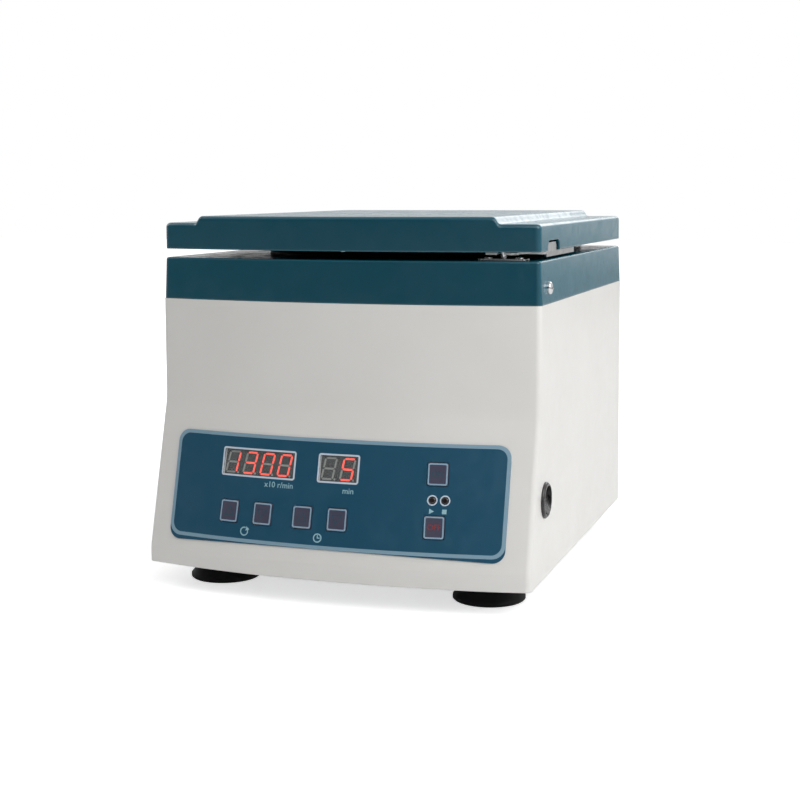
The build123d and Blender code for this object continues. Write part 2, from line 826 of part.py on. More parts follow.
with BuildPart() as foot_screws:
    for x, y in foot_spots.values():
        with Locations((x, y, foot_socket_depth - foot_screw_head_height)):
            Cylinder(foot_screw_head_radius, foot_screw_head_height, align=(Align.CENTER, Align.CENTER,
                                                                            Align.MIN))
        with Locations((x, y, foot_socket_depth)):
            Cylinder(foot_screw_radius, base_top + foot_nut_height - foot_socket_depth,
                     align=(Align.CENTER, Align.CENTER, Align.MIN))
        with Locations((x, y, foot_socket_depth - foot_screw_head_height)):
            Cylinder(foot_screw_radius, foot_screw_head_height * recess_depth_share,
                     align=(Align.CENTER, Align.CENTER, Align.MIN), mode=Mode.SUBTRACT)
export(foot_screws, "foot_screws")

# Chamber
with BuildPart() as chamber_bowl:
    with BuildSketch(chamber_plane) as bowl_profile:
        with BuildLine():
            Polyline((bowl_neck_radius, bowl_floor - bowl_wall), (bowl_radius + bowl_wall,
                                                                  bowl_floor - bowl_wall),
                     (bowl_radius + bowl_wall, deck_top - bowl_wall), (bowl_flange_radius,
                                                                       deck_top - bowl_wall),
                     (bowl_flange_radius, deck_top), (bowl_radius, deck_top), (bowl_radius, bowl_floor),
                     (bowl_neck_radius, bowl_floor), close=True)
        make_face()
        fillet(bowl_profile.vertices().sort_by_distance((bowl_radius + bowl_wall, bowl_floor - bowl_wall))[0],
               bowl_bend + bowl_wall)
        fillet(bowl_profile.vertices().sort_by_distance((bowl_radius, bowl_floor))[0], bowl_bend)
    revolve(axis=chamber_axis)
    with Locations(*[(x, y, deck_top) for x, y in bowl_screw_spots]):
        CounterSinkHole(bowl_screw_radius + thread_clearance, bowl_screw_head_radius + thread_clearance,
                        bowl_wall)
export(chamber_bowl, "chamber_bowl")

with BuildPart() as bowl_screws:
    with Locations(*[(x, y, deck_top) for x, y in bowl_screw_spots]):
        Cylinder(bowl_screw_radius, bowl_screw_length, align=(Align.CENTER, Align.CENTER, Align.MAX))
        Cone(bowl_screw_head_radius - bowl_screw_head_height, bowl_screw_head_radius, bowl_screw_head_height,
             align=(Align.CENTER, Align.CENTER, Align.MAX))
export(bowl_screws, "bowl_screws")

with BuildPart() as chamber_seal:
    with BuildSketch(chamber_plane):
        with BuildLine():
            Polyline((seal_radius - seal_width, deck_top), (seal_radius, deck_top), (seal_radius,
                                                                                     deck_top + seal_lip),
                     (seal_radius - seal_groove, deck_top + seal_lip + seal_slope),
                     (seal_radius - seal_groove, lid_bottom - seal_gap - seal_lip - seal_slope),
                     (seal_radius, lid_bottom - seal_gap - seal_lip), (seal_radius, lid_bottom - seal_gap),
                     (seal_radius - seal_width, lid_bottom - seal_gap), close=True)
        make_face()
    revolve(axis=chamber_axis)
export(chamber_seal, "chamber_seal")

# Stud that the catch holds
with BuildPart() as lock_stud:
    with Locations((stud_x, stud_y, deck_underside)):
        Cylinder(stud_neck_radius, stud_head_bottom - deck_underside, align=(Align.CENTER, Align.CENTER,
                                                                             Align.MIN))
    with Locations((stud_x, stud_y, stud_head_bottom)):
        Cylinder(stud_head_radius, stud_head_height, align=(Align.CENTER, Align.CENTER, Align.MIN))
    chamfer(lock_stud.faces().sort_by(Axis.Z)[-1].edges(), stud_head_chamfer)
export(lock_stud, "lock_stud")

with BuildPart() as stud_plate:
    with BuildSketch(Plane.XY.offset(deck_top)):
        with Locations((stud_x, stud_y)):
            RectangleRounded(stud_plate_length, stud_plate_width, stud_plate_corner)
            Circle(stud_neck_radius, mode=Mode.SUBTRACT)
        with Locations(*stud_screw_spots):
            Circle(small_shank_radius + thread_clearance, mode=Mode.SUBTRACT)
    extrude(amount=stud_plate_thickness)
export(stud_plate, "stud_plate")

with BuildPart() as deck_screws:
    for x, y in stud_screw_spots:
        with Locations((x, y, deck_top + stud_plate_thickness)):
            add(small_screw)
    for x, y in deck_leaf_screw_spots:
        with Locations((x, y, deck_top + hinge_leaf_thickness)):
            add(small_screw)
export(deck_screws, "deck_screws")

# Hinges
with BuildPart() as deck_hinges:
    for side in (-1, 1):
        with Locations((side * hinge_x, hinge_y, deck_top)):
            Box(hinge_length, hinge_leaf_depth, hinge_leaf_thickness, align=(Align.CENTER, Align.MAX,
                                                                             Align.MIN))
        with Locations(Plane(origin=(side * hinge_x, hinge_y, hinge_z), x_dir=(0, 1, 0), z_dir=(1, 0, 0))):
            Cylinder(hinge_knuckle_radius, hinge_length)
        with Locations((side * hinge_x, hinge_y, hinge_z)):
            Box(hinge_middle_length + 2 * hinge_side_gap, 2 * (hinge_knuckle_radius + hinge_side_gap),
                hinge_cut, mode=Mode.SUBTRACT)
        with Locations(Plane(origin=(side * hinge_x, hinge_y, hinge_z), x_dir=(0, 1, 0), z_dir=(1, 0, 0))):
            Cylinder(hinge_pin_radius, hinge_length, mode=Mode.SUBTRACT)
    with Locations(*[(x, y, deck_top) for x, y in deck_leaf_screw_spots]):
        Cylinder(small_shank_radius + thread_clearance, hinge_leaf_thickness,
                 align=(Align.CENTER, Align.CENTER, Align.MIN), mode=Mode.SUBTRACT)
export(deck_hinges, "deck_hinges")

with BuildPart() as hinge_pins:
    for side in (-1, 1):
        with Locations(Plane(origin=(side * hinge_x, hinge_y, hinge_z), x_dir=(0, 1, 0), z_dir=(1, 0, 0))):
            Cylinder(hinge_pin_radius, hinge_length)
export(hinge_pins, "hinge_pins")

with BuildPart() as lid_hinges:
    for side in (-1, 1):
        with Locations((side * hinge_x, hinge_y - hinge_knuckle_radius - hinge_side_gap, lid_bottom)):
            Box(hinge_length, hinge_leaf_depth - hinge_knuckle_radius - hinge_side_gap, hinge_leaf_thickness,
                align=(Align.CENTER, Align.MAX, Align.MAX))
        with Locations((side * hinge_x, hinge_y, lid_bottom)):
            Box(hinge_middle_length, hinge_leaf_depth, hinge_leaf_thickness, align=(Align.CENTER,
                                                                                    Align.MAX, Align.MAX))
        with Locations(Plane(origin=(side * hinge_x, hinge_y, hinge_z), x_dir=(0, 1, 0), z_dir=(1, 0, 0))):
            Cylinder(hinge_knuckle_radius, hinge_middle_length)
            Cylinder(hinge_pin_radius + hinge_pin_clearance, hinge_middle_length, mode=Mode.SUBTRACT)
    with Locations(*[(x, y, lid_bottom) for x, y in lid_leaf_screw_spots]):
        Cylinder(small_shank_radius + thread_clearance, hinge_leaf_thickness,
                 align=(Align.CENTER, Align.CENTER, Align.MAX), mode=Mode.SUBTRACT)
export(lid_hinges, "lid_hinges")

# Lid
with BuildPart() as lid_shell:
    with BuildSketch(Plane.XY.offset(lid_bottom)):
        add(plan_face(0, lid_inset))
    extrude(amount=lid_side_height + platform_rise)
    # Lower shoulders left and right of the platform
    with BuildSketch(Plane.XZ.offset(total_depth)):
        for side in (-1, 1):
            with BuildLine():
                Spline((side * shoulder_x, shoulder_top), (side * platform_x, lid_top),
                       tangents=((-side, 0), (-side, 0)))
                Polyline((side * platform_x, lid_top), (side * platform_x, lid_top + platform_rise),
                         (side * half_width, lid_top + platform_rise), (side * half_width, shoulder_top),
                         (side * shoulder_x, shoulder_top))
            make_face()
    extrude(amount=-2 * total_depth, mode=Mode.SUBTRACT)
    # Rounded upper edge, which follows the shoulders
    fillet(lid_shell.edges().filter_by(
        lambda edge: edge.center().Z > shoulder_top - lid_edge_radius
        and (abs(edge.center().X) > (shoulder_x + lid_half_width) / 2
             or edge.bounding_box().size.Y < total_depth / 2)), lid_edge_radius)
    # Hollow from below
    with BuildSketch(Plane.XY.offset(lid_bottom)):
        add(plan_face(0, lid_inset + lid_wall, corner=inner_corner))
    extrude(amount=lid_side_height - lid_wall, mode=Mode.SUBTRACT)
    with BuildSketch(Plane.XY.offset(lid_bottom)):
        add(plan_face(0, lid_inset + lid_wall, corner=inner_corner))
        Rectangle(2 * (platform_x - lid_wall), 2 * total_depth, mode=Mode.INTERSECT)
    extrude(amount=lid_side_height + platform_rise - lid_wall, mode=Mode.SUBTRACT)
    # Bosses that carry the liner and the hinge leaves
    with BuildSketch(Plane.XY.offset(lid_bottom + liner_thickness)):
        with Locations(*[spot for spot in lid_boss_spots if abs(spot[0]) > shoulder_x]):
            Circle(lid_boss_radius)
            Circle(small_shank_radius + thread_clearance, mode=Mode.SUBTRACT)
    extrude(amount=lid_side_height - liner_thickness - lid_wall + boss_root)
    with BuildSketch(Plane.XY.offset(lid_bottom + liner_thickness)):
        with Locations(*[spot for spot in lid_boss_spots if abs(spot[0]) < shoulder_x]):
            Circle(lid_boss_radius)
            Circle(small_shank_radius + thread_clearance, mode=Mode.SUBTRACT)
    extrude(amount=lid_side_height + platform_rise - liner_thickness - lid_wall + boss_root)
    # Notch for the catch's tab
    with BuildSketch(Plane(origin=(lid_half_width, notch_front, lid_bottom), x_dir=(0, 1, 0),
                           z_dir=(1, 0, 0))):
        with BuildLine():
            Polyline((0, 0), (0, notch_height - notch_end_radius))
            ThreePointArc((0, notch_height - notch_end_radius),
                          (notch_end_radius * (1 - math.sqrt(0.5)),
                           notch_height - notch_end_radius * (1 - math.sqrt(0.5))),
                          (notch_end_radius, notch_height))
            Polyline((notch_end_radius, notch_height), (notch_length - notch_end_radius, notch_height))
            ThreePointArc((notch_length - notch_end_radius, notch_height),
                          (notch_length - notch_end_radius * (1 - math.sqrt(0.5)),
                           notch_height - notch_end_radius * (1 - math.sqrt(0.5))),
                          (notch_length, notch_height - notch_end_radius))
            Polyline((notch_length, notch_height - notch_end_radius), (notch_length, 0), (0, 0))
        make_face()
    extrude(amount=-lid_wall, mode=Mode.SUBTRACT)
export(lid_shell, "lid_shell")

with BuildPart() as lid_liner:
    with BuildSketch(Plane.XY.offset(lid_bottom)):
        add(plan_face(0, lid_inset + lid_wall + liner_clearance, corner=inner_corner))
        with Locations((stud_x, stud_y)):
            Circle(stud_head_radius + stud_pocket_clearance, mode=Mode.SUBTRACT)
        with Locations(*lid_boss_spots):
            Circle(small_shank_radius + thread_clearance, mode=Mode.SUBTRACT)
        with Locations(*guide_spots):
            Circle(guide_radius, mode=Mode.SUBTRACT)
    extrude(amount=liner_thickness)
export(lid_liner, "lid_liner")

with BuildPart() as liner_screws:
    for x, y in liner_screw_spots:
        with Locations(Plane(origin=(x, y, lid_bottom), x_dir=(1, 0, 0), z_dir=(0, 0, -1))):
            add(small_screw)
export(liner_screws, "liner_screws")

with BuildPart() as lid_hinge_screws:
    for x, y in lid_leaf_screw_spots:
        with Locations(Plane(origin=(x, y, lid_bottom - hinge_leaf_thickness), x_dir=(1, 0, 0),
                             z_dir=(0, 0, -1))):
            add(small_screw)
export(lid_hinge_screws, "lid_hinge_screws")

# Catch
with BuildPart() as latch_plate:
    with BuildSketch(Plane.XY.offset(catch_bottom)):
        with BuildLine():
            Polyline((catch_head_left, catch_head_front), (catch_arm_left, catch_head_front),
                     (catch_arm_left, catch_arm_front), (catch_x, catch_arm_front), (catch_x, strip_back),
                     (catch_arm_left, strip_back), (catch_arm_left, catch_head_front + catch_head_length),
                     (catch_head_left, catch_head_front + catch_head_length), close=True)
        make_face()
        # Fork with a wide throat for the stud's head, and guide slots
        with BuildLine():
            Polyline((stud_x - catch_slot_half, catch_head_front), (stud_x - catch_slot_half, throat_front),
                     (stud_x - throat_width / 2, stud_y + throat_depth),
                     (stud_x + throat_width / 2, stud_y + throat_depth),
                     (stud_x + catch_slot_half, throat_front), (stud_x + catch_slot_half, catch_head_front),
                     close=True)
        make_face(mode=Mode.SUBTRACT)
        with Locations(*[(x, y - catch_travel / 2) for x, y in guide_spots]):
            SlotCenterToCenter(catch_travel, 2 * (guide_radius + guide_clearance), rotation=90,
                               mode=Mode.SUBTRACT)
    extrude(amount=catch_thickness)
    # Strip that hangs below the lid and the tab that stands in its notch
    with BuildSketch(Plane(origin=(catch_x, tab_front, lid_bottom), x_dir=(0, 1, 0), z_dir=(1, 0, 0))):
        with Locations((strip_front - tab_front, -catch_strip_drop)):
            Rectangle(catch_strip_length, catch_strip_drop - catch_clearance, align=(Align.MIN, Align.MIN))
        with BuildLine():
            Polyline((0, -catch_strip_drop), (0, catch_tab_height - catch_tab_rounding))
            ThreePointArc((0, catch_tab_height - catch_tab_rounding),
                          (catch_tab_rounding * (1 - math.sqrt(0.5)),
                           catch_tab_height - catch_tab_rounding * (1 - math.sqrt(0.5))),
                          (catch_tab_rounding, catch_tab_height))
            Polyline((catch_tab_rounding, catch_tab_height), (catch_tab_length - catch_tab_rounding,
                                                              catch_tab_height))
            ThreePointArc((catch_tab_length - catch_tab_rounding, catch_tab_height),
                          (catch_tab_length - catch_tab_rounding * (1 - math.sqrt(0.5)),
                           catch_tab_height - catch_tab_rounding * (1 - math.sqrt(0.5))),
                          (catch_tab_length, catch_tab_height - catch_tab_rounding))
            Polyline((catch_tab_length, catch_tab_height - catch_tab_rounding), (catch_tab_length,
                                                                                 -catch_strip_drop),
                     (0, -catch_strip_drop))
        make_face()
    extrude(amount=-catch_thickness)
export(latch_plate, "latch_plate")

with BuildPart() as latch_guides:
    with Locations(*[(x, y, catch_bottom - guide_play - guide_head_height) for x, y in guide_spots]):
        Cylinder(guide_head_radius, guide_head_height, align=(Align.CENTER, Align.CENTER, Align.MIN))
    with Locations(*[(x, y, catch_bottom - guide_play) for x, y in guide_spots]):
        Cylinder(guide_radius, lid_bottom + liner_thickness - catch_bottom + guide_play,
                 align=(Align.CENTER, Align.CENTER, Align.MIN))
export(latch_guides, "latch_guides")

# Rotor
with BuildPart() as rotor_head:
    with BuildSketch(chamber_plane):
        with BuildLine():
            Polyline((shaft_radius, rotor_bottom), (rotor_hub_radius, rotor_bottom),
                     (rotor_hub_radius, rotor_bottom + rotor_underside_depth),
                     (rotor_radius - rotor_skirt, rotor_bottom + rotor_underside_depth),
                     (rotor_radius - rotor_skirt, rotor_bottom), (rotor_radius, rotor_bottom),
                     (rotor_radius, rotor_bottom + rotor_rim_height), (rotor_top_radius, rotor_top),
                     (rotor_cup_radius, rotor_top), (rotor_cup_radius, rotor_cup_floor),
                     (shaft_radius, rotor_cup_floor), close=True)
        make_face()
    revolve(axis=chamber_axis)
    # Wells for the tubes
    for well in range(well_count):
        with BuildSketch(well_plane(well)):
            Circle(well_radius)
        extrude(amount=well_overrun, mode=Mode.SUBTRACT)
        with BuildSketch(well_plane(well)):
            Circle(well_radius)
        extrude(amount=-well_length, mode=Mode.SUBTRACT)
export(rotor_head, "rotor_head")

with BuildPart() as motor_shaft:
    with Locations((0, chamber_y, motor_bottom + bearing_inset)):
        Cylinder(shaft_radius, rotor_cup_floor + nut_height + thread_stand - motor_bottom - bearing_inset,
                 align=(Align.CENTER, Align.CENTER, Align.MIN))
    with Locations((0, chamber_y, rotor_bottom)):
        Cylinder(shaft_shoulder_radius, rotor_bottom - motor_neck_top - shoulder_clearance,
                 align=(Align.CENTER, Align.CENTER, Align.MAX))
    chamfer(motor_shaft.faces().sort_by(Axis.Z)[-1].edges(), shaft_chamfer)
export(motor_shaft, "motor_shaft")

with BuildPart() as rotor_nut:
    with BuildSketch(Plane.XY.offset(rotor_cup_floor)):
        with Locations((0, chamber_y)):
            RegularPolygon(nut_width / 2, 6, major_radius=False)
            Circle(shaft_radius, mode=Mode.SUBTRACT)
    extrude(amount=nut_height)
    with BuildSketch(Plane.XY.offset(rotor_cup_floor)):
        with Locations((0, chamber_y)):
            Circle(nut_washer_radius)
            Circle(shaft_radius, mode=Mode.SUBTRACT)
    extrude(amount=nut_washer_height)
export(rotor_nut, "rotor_nut")

# Drive
with BuildPart() as motor_housing:
    with Locations((0, chamber_y, motor_cap_top)):
        Cylinder(motor_radius, mount_plate_bottom - motor_cap_top, align=(Align.CENTER, Align.CENTER,
                                                                          Align.MIN))
    with Locations((0, chamber_y, mount_plate_bottom)):
        Cylinder(motor_neck_radius, motor_neck_top - mount_plate_bottom, align=(Align.CENTER,
                                                                                Align.CENTER, Align.MIN))
    with Locations((0, chamber_y, motor_cap_top)):
        Cylinder(motor_radius - motor_wall, mount_plate_bottom - motor_face_thickness - motor_cap_top,
                 align=(Align.CENTER, Align.CENTER, Align.MIN), mode=Mode.SUBTRACT)
        Cylinder(bearing_radius, motor_neck_top - bearing_lip - motor_cap_top,
                 align=(Align.CENTER, Align.CENTER, Align.MIN), mode=Mode.SUBTRACT)
        Cylinder(shaft_radius + bearing_lip, motor_neck_top - motor_cap_top,
                 align=(Align.CENTER, Align.CENTER, Align.MIN), mode=Mode.SUBTRACT)
    with Locations(*[(x, y, mount_plate_bottom) for x, y in motor_bolt_spots]):
        Cylinder(motor_bolt_radius + thread_clearance, motor_face_thickness,
                 align=(Align.CENTER, Align.CENTER, Align.MAX), mode=Mode.SUBTRACT)
export(motor_housing, "motor_housing")

with BuildPart() as motor_end_cap:
    with Locations((0, chamber_y, motor_bottom)):
        Cylinder(motor_radius, end_cap_height, align=(Align.CENTER, Align.CENTER, Align.MIN))
        Cylinder(motor_neck_radius, bearing_inset + bearing_width, align=(Align.CENTER, Align.CENTER,
                                                                          Align.MIN))
    fillet(motor_end_cap.faces().sort_by(Axis.Z)[0].edges(), end_cap_rounding)
    with Locations((0, chamber_y, motor_bottom + bearing_inset)):
        Cylinder(bearing_radius, bearing_width, align=(Align.CENTER, Align.CENTER, Align.MIN),
                 mode=Mode.SUBTRACT)
export(motor_end_cap, "motor_end_cap")

with BuildPart() as motor_bearings:
    with Locations((0, chamber_y, motor_bottom + bearing_inset), (0, chamber_y,
                                                                  motor_neck_top - bearing_lip
                                                                  - bearing_width)):
        Cylinder(bearing_radius, bearing_width, align=(Align.CENTER, Align.CENTER, Align.MIN))
        Cylinder(shaft_radius + shaft_running_clearance, bearing_width,
                 align=(Align.CENTER, Align.CENTER, Align.MIN), mode=Mode.SUBTRACT)
export(motor_bearings, "motor_bearings")

with BuildPart() as motor_stator:
    with BuildSketch(Plane.XY.offset(stator_bottom)):
        with Locations((0, chamber_y)):
            Circle(motor_radius - motor_wall)
            Circle(stator_inner_radius, mode=Mode.SUBTRACT)
    extrude(amount=stator_length)
export(motor_stator, "motor_stator")

with BuildPart() as motor_armature:
    with BuildSketch(Plane.XY.offset(stator_bottom)):
        with Locations((0, chamber_y)):
            Circle(stator_inner_radius - air_gap)
            Circle(shaft_radius, mode=Mode.SUBTRACT)
            with PolarLocations(stator_inner_radius - air_gap, armature_slots):
                Rectangle(2 * armature_slot_depth, armature_slot_width, mode=Mode.SUBTRACT)
    extrude(amount=stator_length)
export(motor_armature, "motor_armature")

with BuildPart() as motor_mount_plate:
    with BuildSketch(Plane.XY.offset(mount_plate_bottom)):
        with Locations((0, chamber_y)):
            RectangleRounded(mount_plate_size, mount_plate_size, mount_plate_corner)
            Circle(motor_neck_radius, mode=Mode.SUBTRACT)
        with Locations(*motor_bolt_spots):
            Circle(motor_bolt_radius + thread_clearance, mode=Mode.SUBTRACT)
    extrude(amount=mount_plate_thickness)
export(motor_mount_plate, "motor_mount_plate")

with BuildPart() as motor_dampers:
    for x, y in mount_post_spots:
        with BuildSketch(Plane(origin=(x, y, 0), x_dir=(1, 0, 0), z_dir=(0, -1, 0))):
            with BuildLine():
                Polyline((damper_radius, mount_plate_bottom), (0, mount_plate_bottom),
                         (0, mount_plate_bottom - damper_height), (damper_radius,
                                                                   mount_plate_bottom - damper_height))
                ThreePointArc((damper_radius, mount_plate_bottom - damper_height),
                              (damper_waist_radius, mount_plate_bottom - damper_height / 2),
                              (damper_radius, mount_plate_bottom))
            make_face()
        revolve(axis=Axis((x, y, 0), (0, 0, 1)))
export(motor_dampers, "motor_dampers")

with BuildPart() as motor_bolts:
    for x, y in motor_bolt_spots:
        with Locations((x, y, mount_plate_top)):
            add(motor_bolt)
export(motor_bolts, "motor_bolts")

with BuildPart() as shaft_boot:
    with BuildSketch(chamber_plane):
        with BuildLine():
            Polyline((motor_neck_radius, boot_bottom), (bowl_neck_radius + boot_lip, boot_bottom),
                     (bowl_neck_radius + boot_lip, bowl_floor - bowl_wall), (bowl_neck_radius,
                                                                             bowl_floor - bowl_wall),
                     (bowl_neck_radius, bowl_floor), (bowl_neck_radius + boot_lip, bowl_floor),
                     (bowl_neck_radius + boot_lip, bowl_floor + boot_rise), (motor_neck_radius,
                                                                             bowl_floor + boot_rise),
                     close=True)
        make_face()
    revolve(axis=chamber_axis)
export(shaft_boot, "shaft_boot")

# Front panel
with BuildPart() as panel_overlay:
    loft(housing_layers(proud=overlay_thickness / math.cos(slope_angle)), ruled=True)
    with BuildSketch(board_plane(0)):
        with Locations((0, -panel_middle)):
            RectangleRounded(panel_width, panel_height, panel_corner)
    extrude(amount=panel_reach, both=True, mode=Mode.INTERSECT)
    loft(housing_layers(), ruled=True, mode=Mode.SUBTRACT)
    for x, length in display_places:
        with BuildSketch(panel_plane(x, display_row)):
            Rectangle(length + 2 * window_margin, window_height)
        extrude(amount=panel_cut, both=True, mode=Mode.SUBTRACT)
    with BuildSketch(*key_planes):
        RectangleRounded(key_width + 2 * key_clearance, key_height + 2 * key_clearance, key_corner)
    extrude(amount=panel_cut, both=True, mode=Mode.SUBTRACT)
    with BuildSketch(*lamp_planes):
        Circle(lamp_radius + lamp_clearance)
    extrude(amount=panel_cut, both=True, mode=Mode.SUBTRACT)
export(panel_overlay, "panel_overlay")

with BuildPart() as display_windows:
    for x, length in display_places:
        with BuildSketch(panel_plane(x, display_row)):
            Rectangle(length + 2 * window_margin - 2 * window_clearance, window_height - 2 * window_clearance)
        extrude(amount=overlay_thickness)
export(display_windows, "display_windows")

for display_name, (display_x, length) in zip(("speed_display", "time_display"), display_places):
    with BuildPart() as display:
        with BuildSketch(panel_plane(display_x, display_row, display_set_back)):
            Rectangle(length, display_height)
        extrude(amount=-display_depth)
        with BuildSketch(panel_plane(display_x, display_row, display_set_back)):
            Rectangle(length - display_header_inset, display_header_height)
        extrude(amount=-board_depth)
        with BuildSketch(board_plane(board_depth)):
            with Locations((0, -panel_middle)):
                Rectangle(2 * board_width, 2 * board_height)
        extrude(amount=-board_depth, mode=Mode.SUBTRACT)
    export(display, display_name)

with BuildPart() as status_lamps:
    for x, row in lamp_places:
        with BuildSketch(panel_plane(x, row, -overlay_thickness - lamp_rise)):
            Circle(lamp_radius)
        extrude(amount=-lamp_length)
        with BuildSketch(panel_plane(x, row, lamp_flange_depth)):
            Circle(lamp_flange_radius)
        extrude(amount=-lamp_flange_height)
        with BuildSketch(panel_plane(x, row, lamp_flange_depth)):
            Circle(lamp_lead_radius)
        extrude(amount=-board_depth)
    with BuildSketch(board_plane(board_depth)):
        with Locations((0, -panel_middle)):
            Rectangle(2 * board_width, 2 * board_height)
    extrude(amount=-board_depth, mode=Mode.SUBTRACT)
    lamp_tips = status_lamps.edges().filter_by(GeomType.CIRCLE).sort_by(Axis.Y)[0:2]
    fillet(lamp_tips, lamp_rounding)
export(status_lamps, "status_lamps")

for key_name, (key_x, row) in key_places.items():
    with BuildPart() as key:
        with BuildSketch(panel_plane(key_x, row, -overlay_thickness - key_proud)):
            RectangleRounded(key_width, key_height, key_corner)
        extrude(amount=-key_depth)
        with BuildSketch(panel_plane(key_x, row, key_depth - overlay_thickness - key_proud)):
            Circle(key_stem_radius)
        extrude(amount=-(depth_to_board(key_x, row) - switch_case_height + stem_entry
                         - key_depth + overlay_thickness + key_proud))
        cap_face = key.faces().sort_by(SortBy.AREA)[-2:].sort_by(Axis.Y)[0]
        fillet(cap_face.edges(), key_rounding)
    export(key, key_name)

with BuildPart() as key_switches:
    with BuildSketch(board_plane(board_depth)):
        with Locations(*[stem_foot(x, row) for x, row in key_places.values()]):
            Rectangle(switch_case_size, switch_case_size)
    extrude(amount=switch_case_height)
    for x, row in key_places.values():
        with BuildSketch(panel_plane(x, row)):
            Circle(switch_bore_radius)
        extrude(amount=-(depth_to_board(x, row) - switch_case_height + switch_bore_depth), mode=Mode.SUBTRACT)
export(key_switches, "key_switches")

with BuildPart() as control_board:
    with BuildSketch(board_plane(board_depth)):
        with Locations((0, -panel_middle)):
            Rectangle(board_width, board_height)
        with Locations(*[spot_on_board(x, row) for x, row in board_boss_places]):
            Circle(small_shank_radius + thread_clearance, mode=Mode.SUBTRACT)
    extrude(amount=-board_thickness)
export(control_board, "control_board")

with BuildPart() as board_screws:
    for x, row in board_boss_places:
        across, up = spot_on_board(x, row)
        back_side = board_plane(board_depth + board_thickness)
        with Locations(Plane(origin=back_side.from_local_coords((across, up, 0)), x_dir=back_side.x_dir,
                             z_dir=-back_side.z_dir)):
            add(small_screw)
    for x, y in driver_stand_spots:
        with Locations((x, y, driver_board_top)):
            add(small_screw)
export(board_screws, "board_screws")

# Power switch
with BuildPart() as power_switch_body:
    with BuildSketch(power_plane):
        Circle(power_bezel_radius)
    extrude(amount=power_bezel_height)
    chamfer(power_switch_body.faces().sort_by(Axis.X)[-1].edges(), power_bezel_slope)
    with BuildSketch(power_plane):
        Circle(power_body_radius)
    extrude(amount=-power_body_depth)
    with BuildSketch(power_plane.offset(power_bezel_height)):
        Circle(rocker_radius + rocker_clearance)
    extrude(amount=-power_bezel_height - rocker_pivot_depth - rocker_cavity, mode=Mode.SUBTRACT)
    with Locations(Plane(origin=(rocker_pivot_x, power_switch_y, power_switch_z), x_dir=(1, 0, 0),
                         z_dir=(0, 1, 0))):
        Cylinder(rocker_trunnion_radius + rocker_trunnion_clearance,
                 2 * (rocker_trunnion_length + rocker_clearance), mode=Mode.SUBTRACT)
export(power_switch_body, "power_switch_body")

with BuildPart() as power_rocker:
    # Two flat halves that meet in a shallow valley, one of them pressed in at rest
    with BuildSketch(Plane(origin=(rocker_pivot_x, power_switch_y, power_switch_z), x_dir=(1, 0, 0),
                           z_dir=(0, -1, 0))):
        with BuildLine():
            Polyline(rocker_point(-rocker_root, -rocker_half_width), rocker_point(-rocker_root,
                                                                                  rocker_half_width),
                     rocker_point(rocker_crown + rocker_wing, rocker_half_width),
                     rocker_point(rocker_crown, 0),
                     rocker_point(rocker_crown + rocker_wing, -rocker_half_width), close=True)
        make_face()
    extrude(amount=rocker_half_width, both=True)
    # Ball shaped rim, so that the rocker turns freely in its round opening
    with BuildSketch(Plane(origin=(rocker_pivot_x, power_switch_y, power_switch_z), x_dir=(1, 0, 0),
                           z_dir=(0, -1, 0))):
        with BuildLine():
            ThreePointArc((-rocker_half_zone, rocker_zone_edge), (0, rocker_radius), (rocker_half_zone,
                                                                                      rocker_zone_edge))
            Polyline((rocker_half_zone, rocker_zone_edge), (rocker_half_zone, 0), (-rocker_half_zone, 0),
                     (-rocker_half_zone, rocker_zone_edge))
        make_face()
    revolve(axis=Axis((rocker_pivot_x, power_switch_y, power_switch_z), (1, 0, 0)), mode=Mode.INTERSECT)
    with Locations(Plane(origin=(rocker_pivot_x, power_switch_y, power_switch_z), x_dir=(1, 0, 0),
                         z_dir=(0, 1, 0))):
        Cylinder(rocker_trunnion_radius, 2 * rocker_trunnion_length)
export(power_rocker, "power_rocker")

# Rear connections
with BuildPart() as power_inlet:
    with BuildSketch(inlet_plane):
        RectangleRounded(inlet_flange_width, inlet_flange_height, inlet_corner)
    extrude(amount=inlet_flange_thickness)
    with BuildSketch(inlet_plane):
        Rectangle(inlet_body_width, inlet_body_height)
    extrude(amount=-inlet_body_depth)
    with BuildSketch(inlet_plane.offset(inlet_flange_thickness)):
        with BuildLine():
            Polyline((-inlet_socket_width / 2, -inlet_socket_height / 2),
                     (inlet_socket_width / 2, -inlet_socket_height / 2),
                     (inlet_socket_width / 2, inlet_socket_height / 2 - inlet_socket_chamfer),
                     (inlet_socket_width / 2 - inlet_socket_chamfer, inlet_socket_height / 2),
                     (inlet_socket_chamfer - inlet_socket_width / 2, inlet_socket_height / 2),
                     (-inlet_socket_width / 2, inlet_socket_height / 2 - inlet_socket_chamfer), close=True)
        make_face()
    extrude(amount=-inlet_socket_depth, mode=Mode.SUBTRACT)
    with BuildSketch(inlet_plane):
        with Locations((-inlet_screw_spacing / 2, 0), (inlet_screw_spacing / 2, 0)):
            Circle(small_shank_radius + thread_clearance)
        with Locations(*inlet_pin_spots):
            Rectangle(inlet_pin_width, inlet_pin_height)
    extrude(amount=2 * inlet_body_depth, both=True, mode=Mode.SUBTRACT)
export(power_inlet, "power_inlet")

with BuildPart() as inlet_pins:
    with BuildSketch(inlet_plane.offset(inlet_flange_thickness - inlet_socket_depth + inlet_pin_length)):
        with Locations(*inlet_pin_spots):
            Rectangle(inlet_pin_width, inlet_pin_height)
    extrude(amount=-(inlet_body_depth + inlet_pin_root + inlet_flange_thickness
                     - inlet_socket_depth + inlet_pin_length))
export(inlet_pins, "inlet_pins")

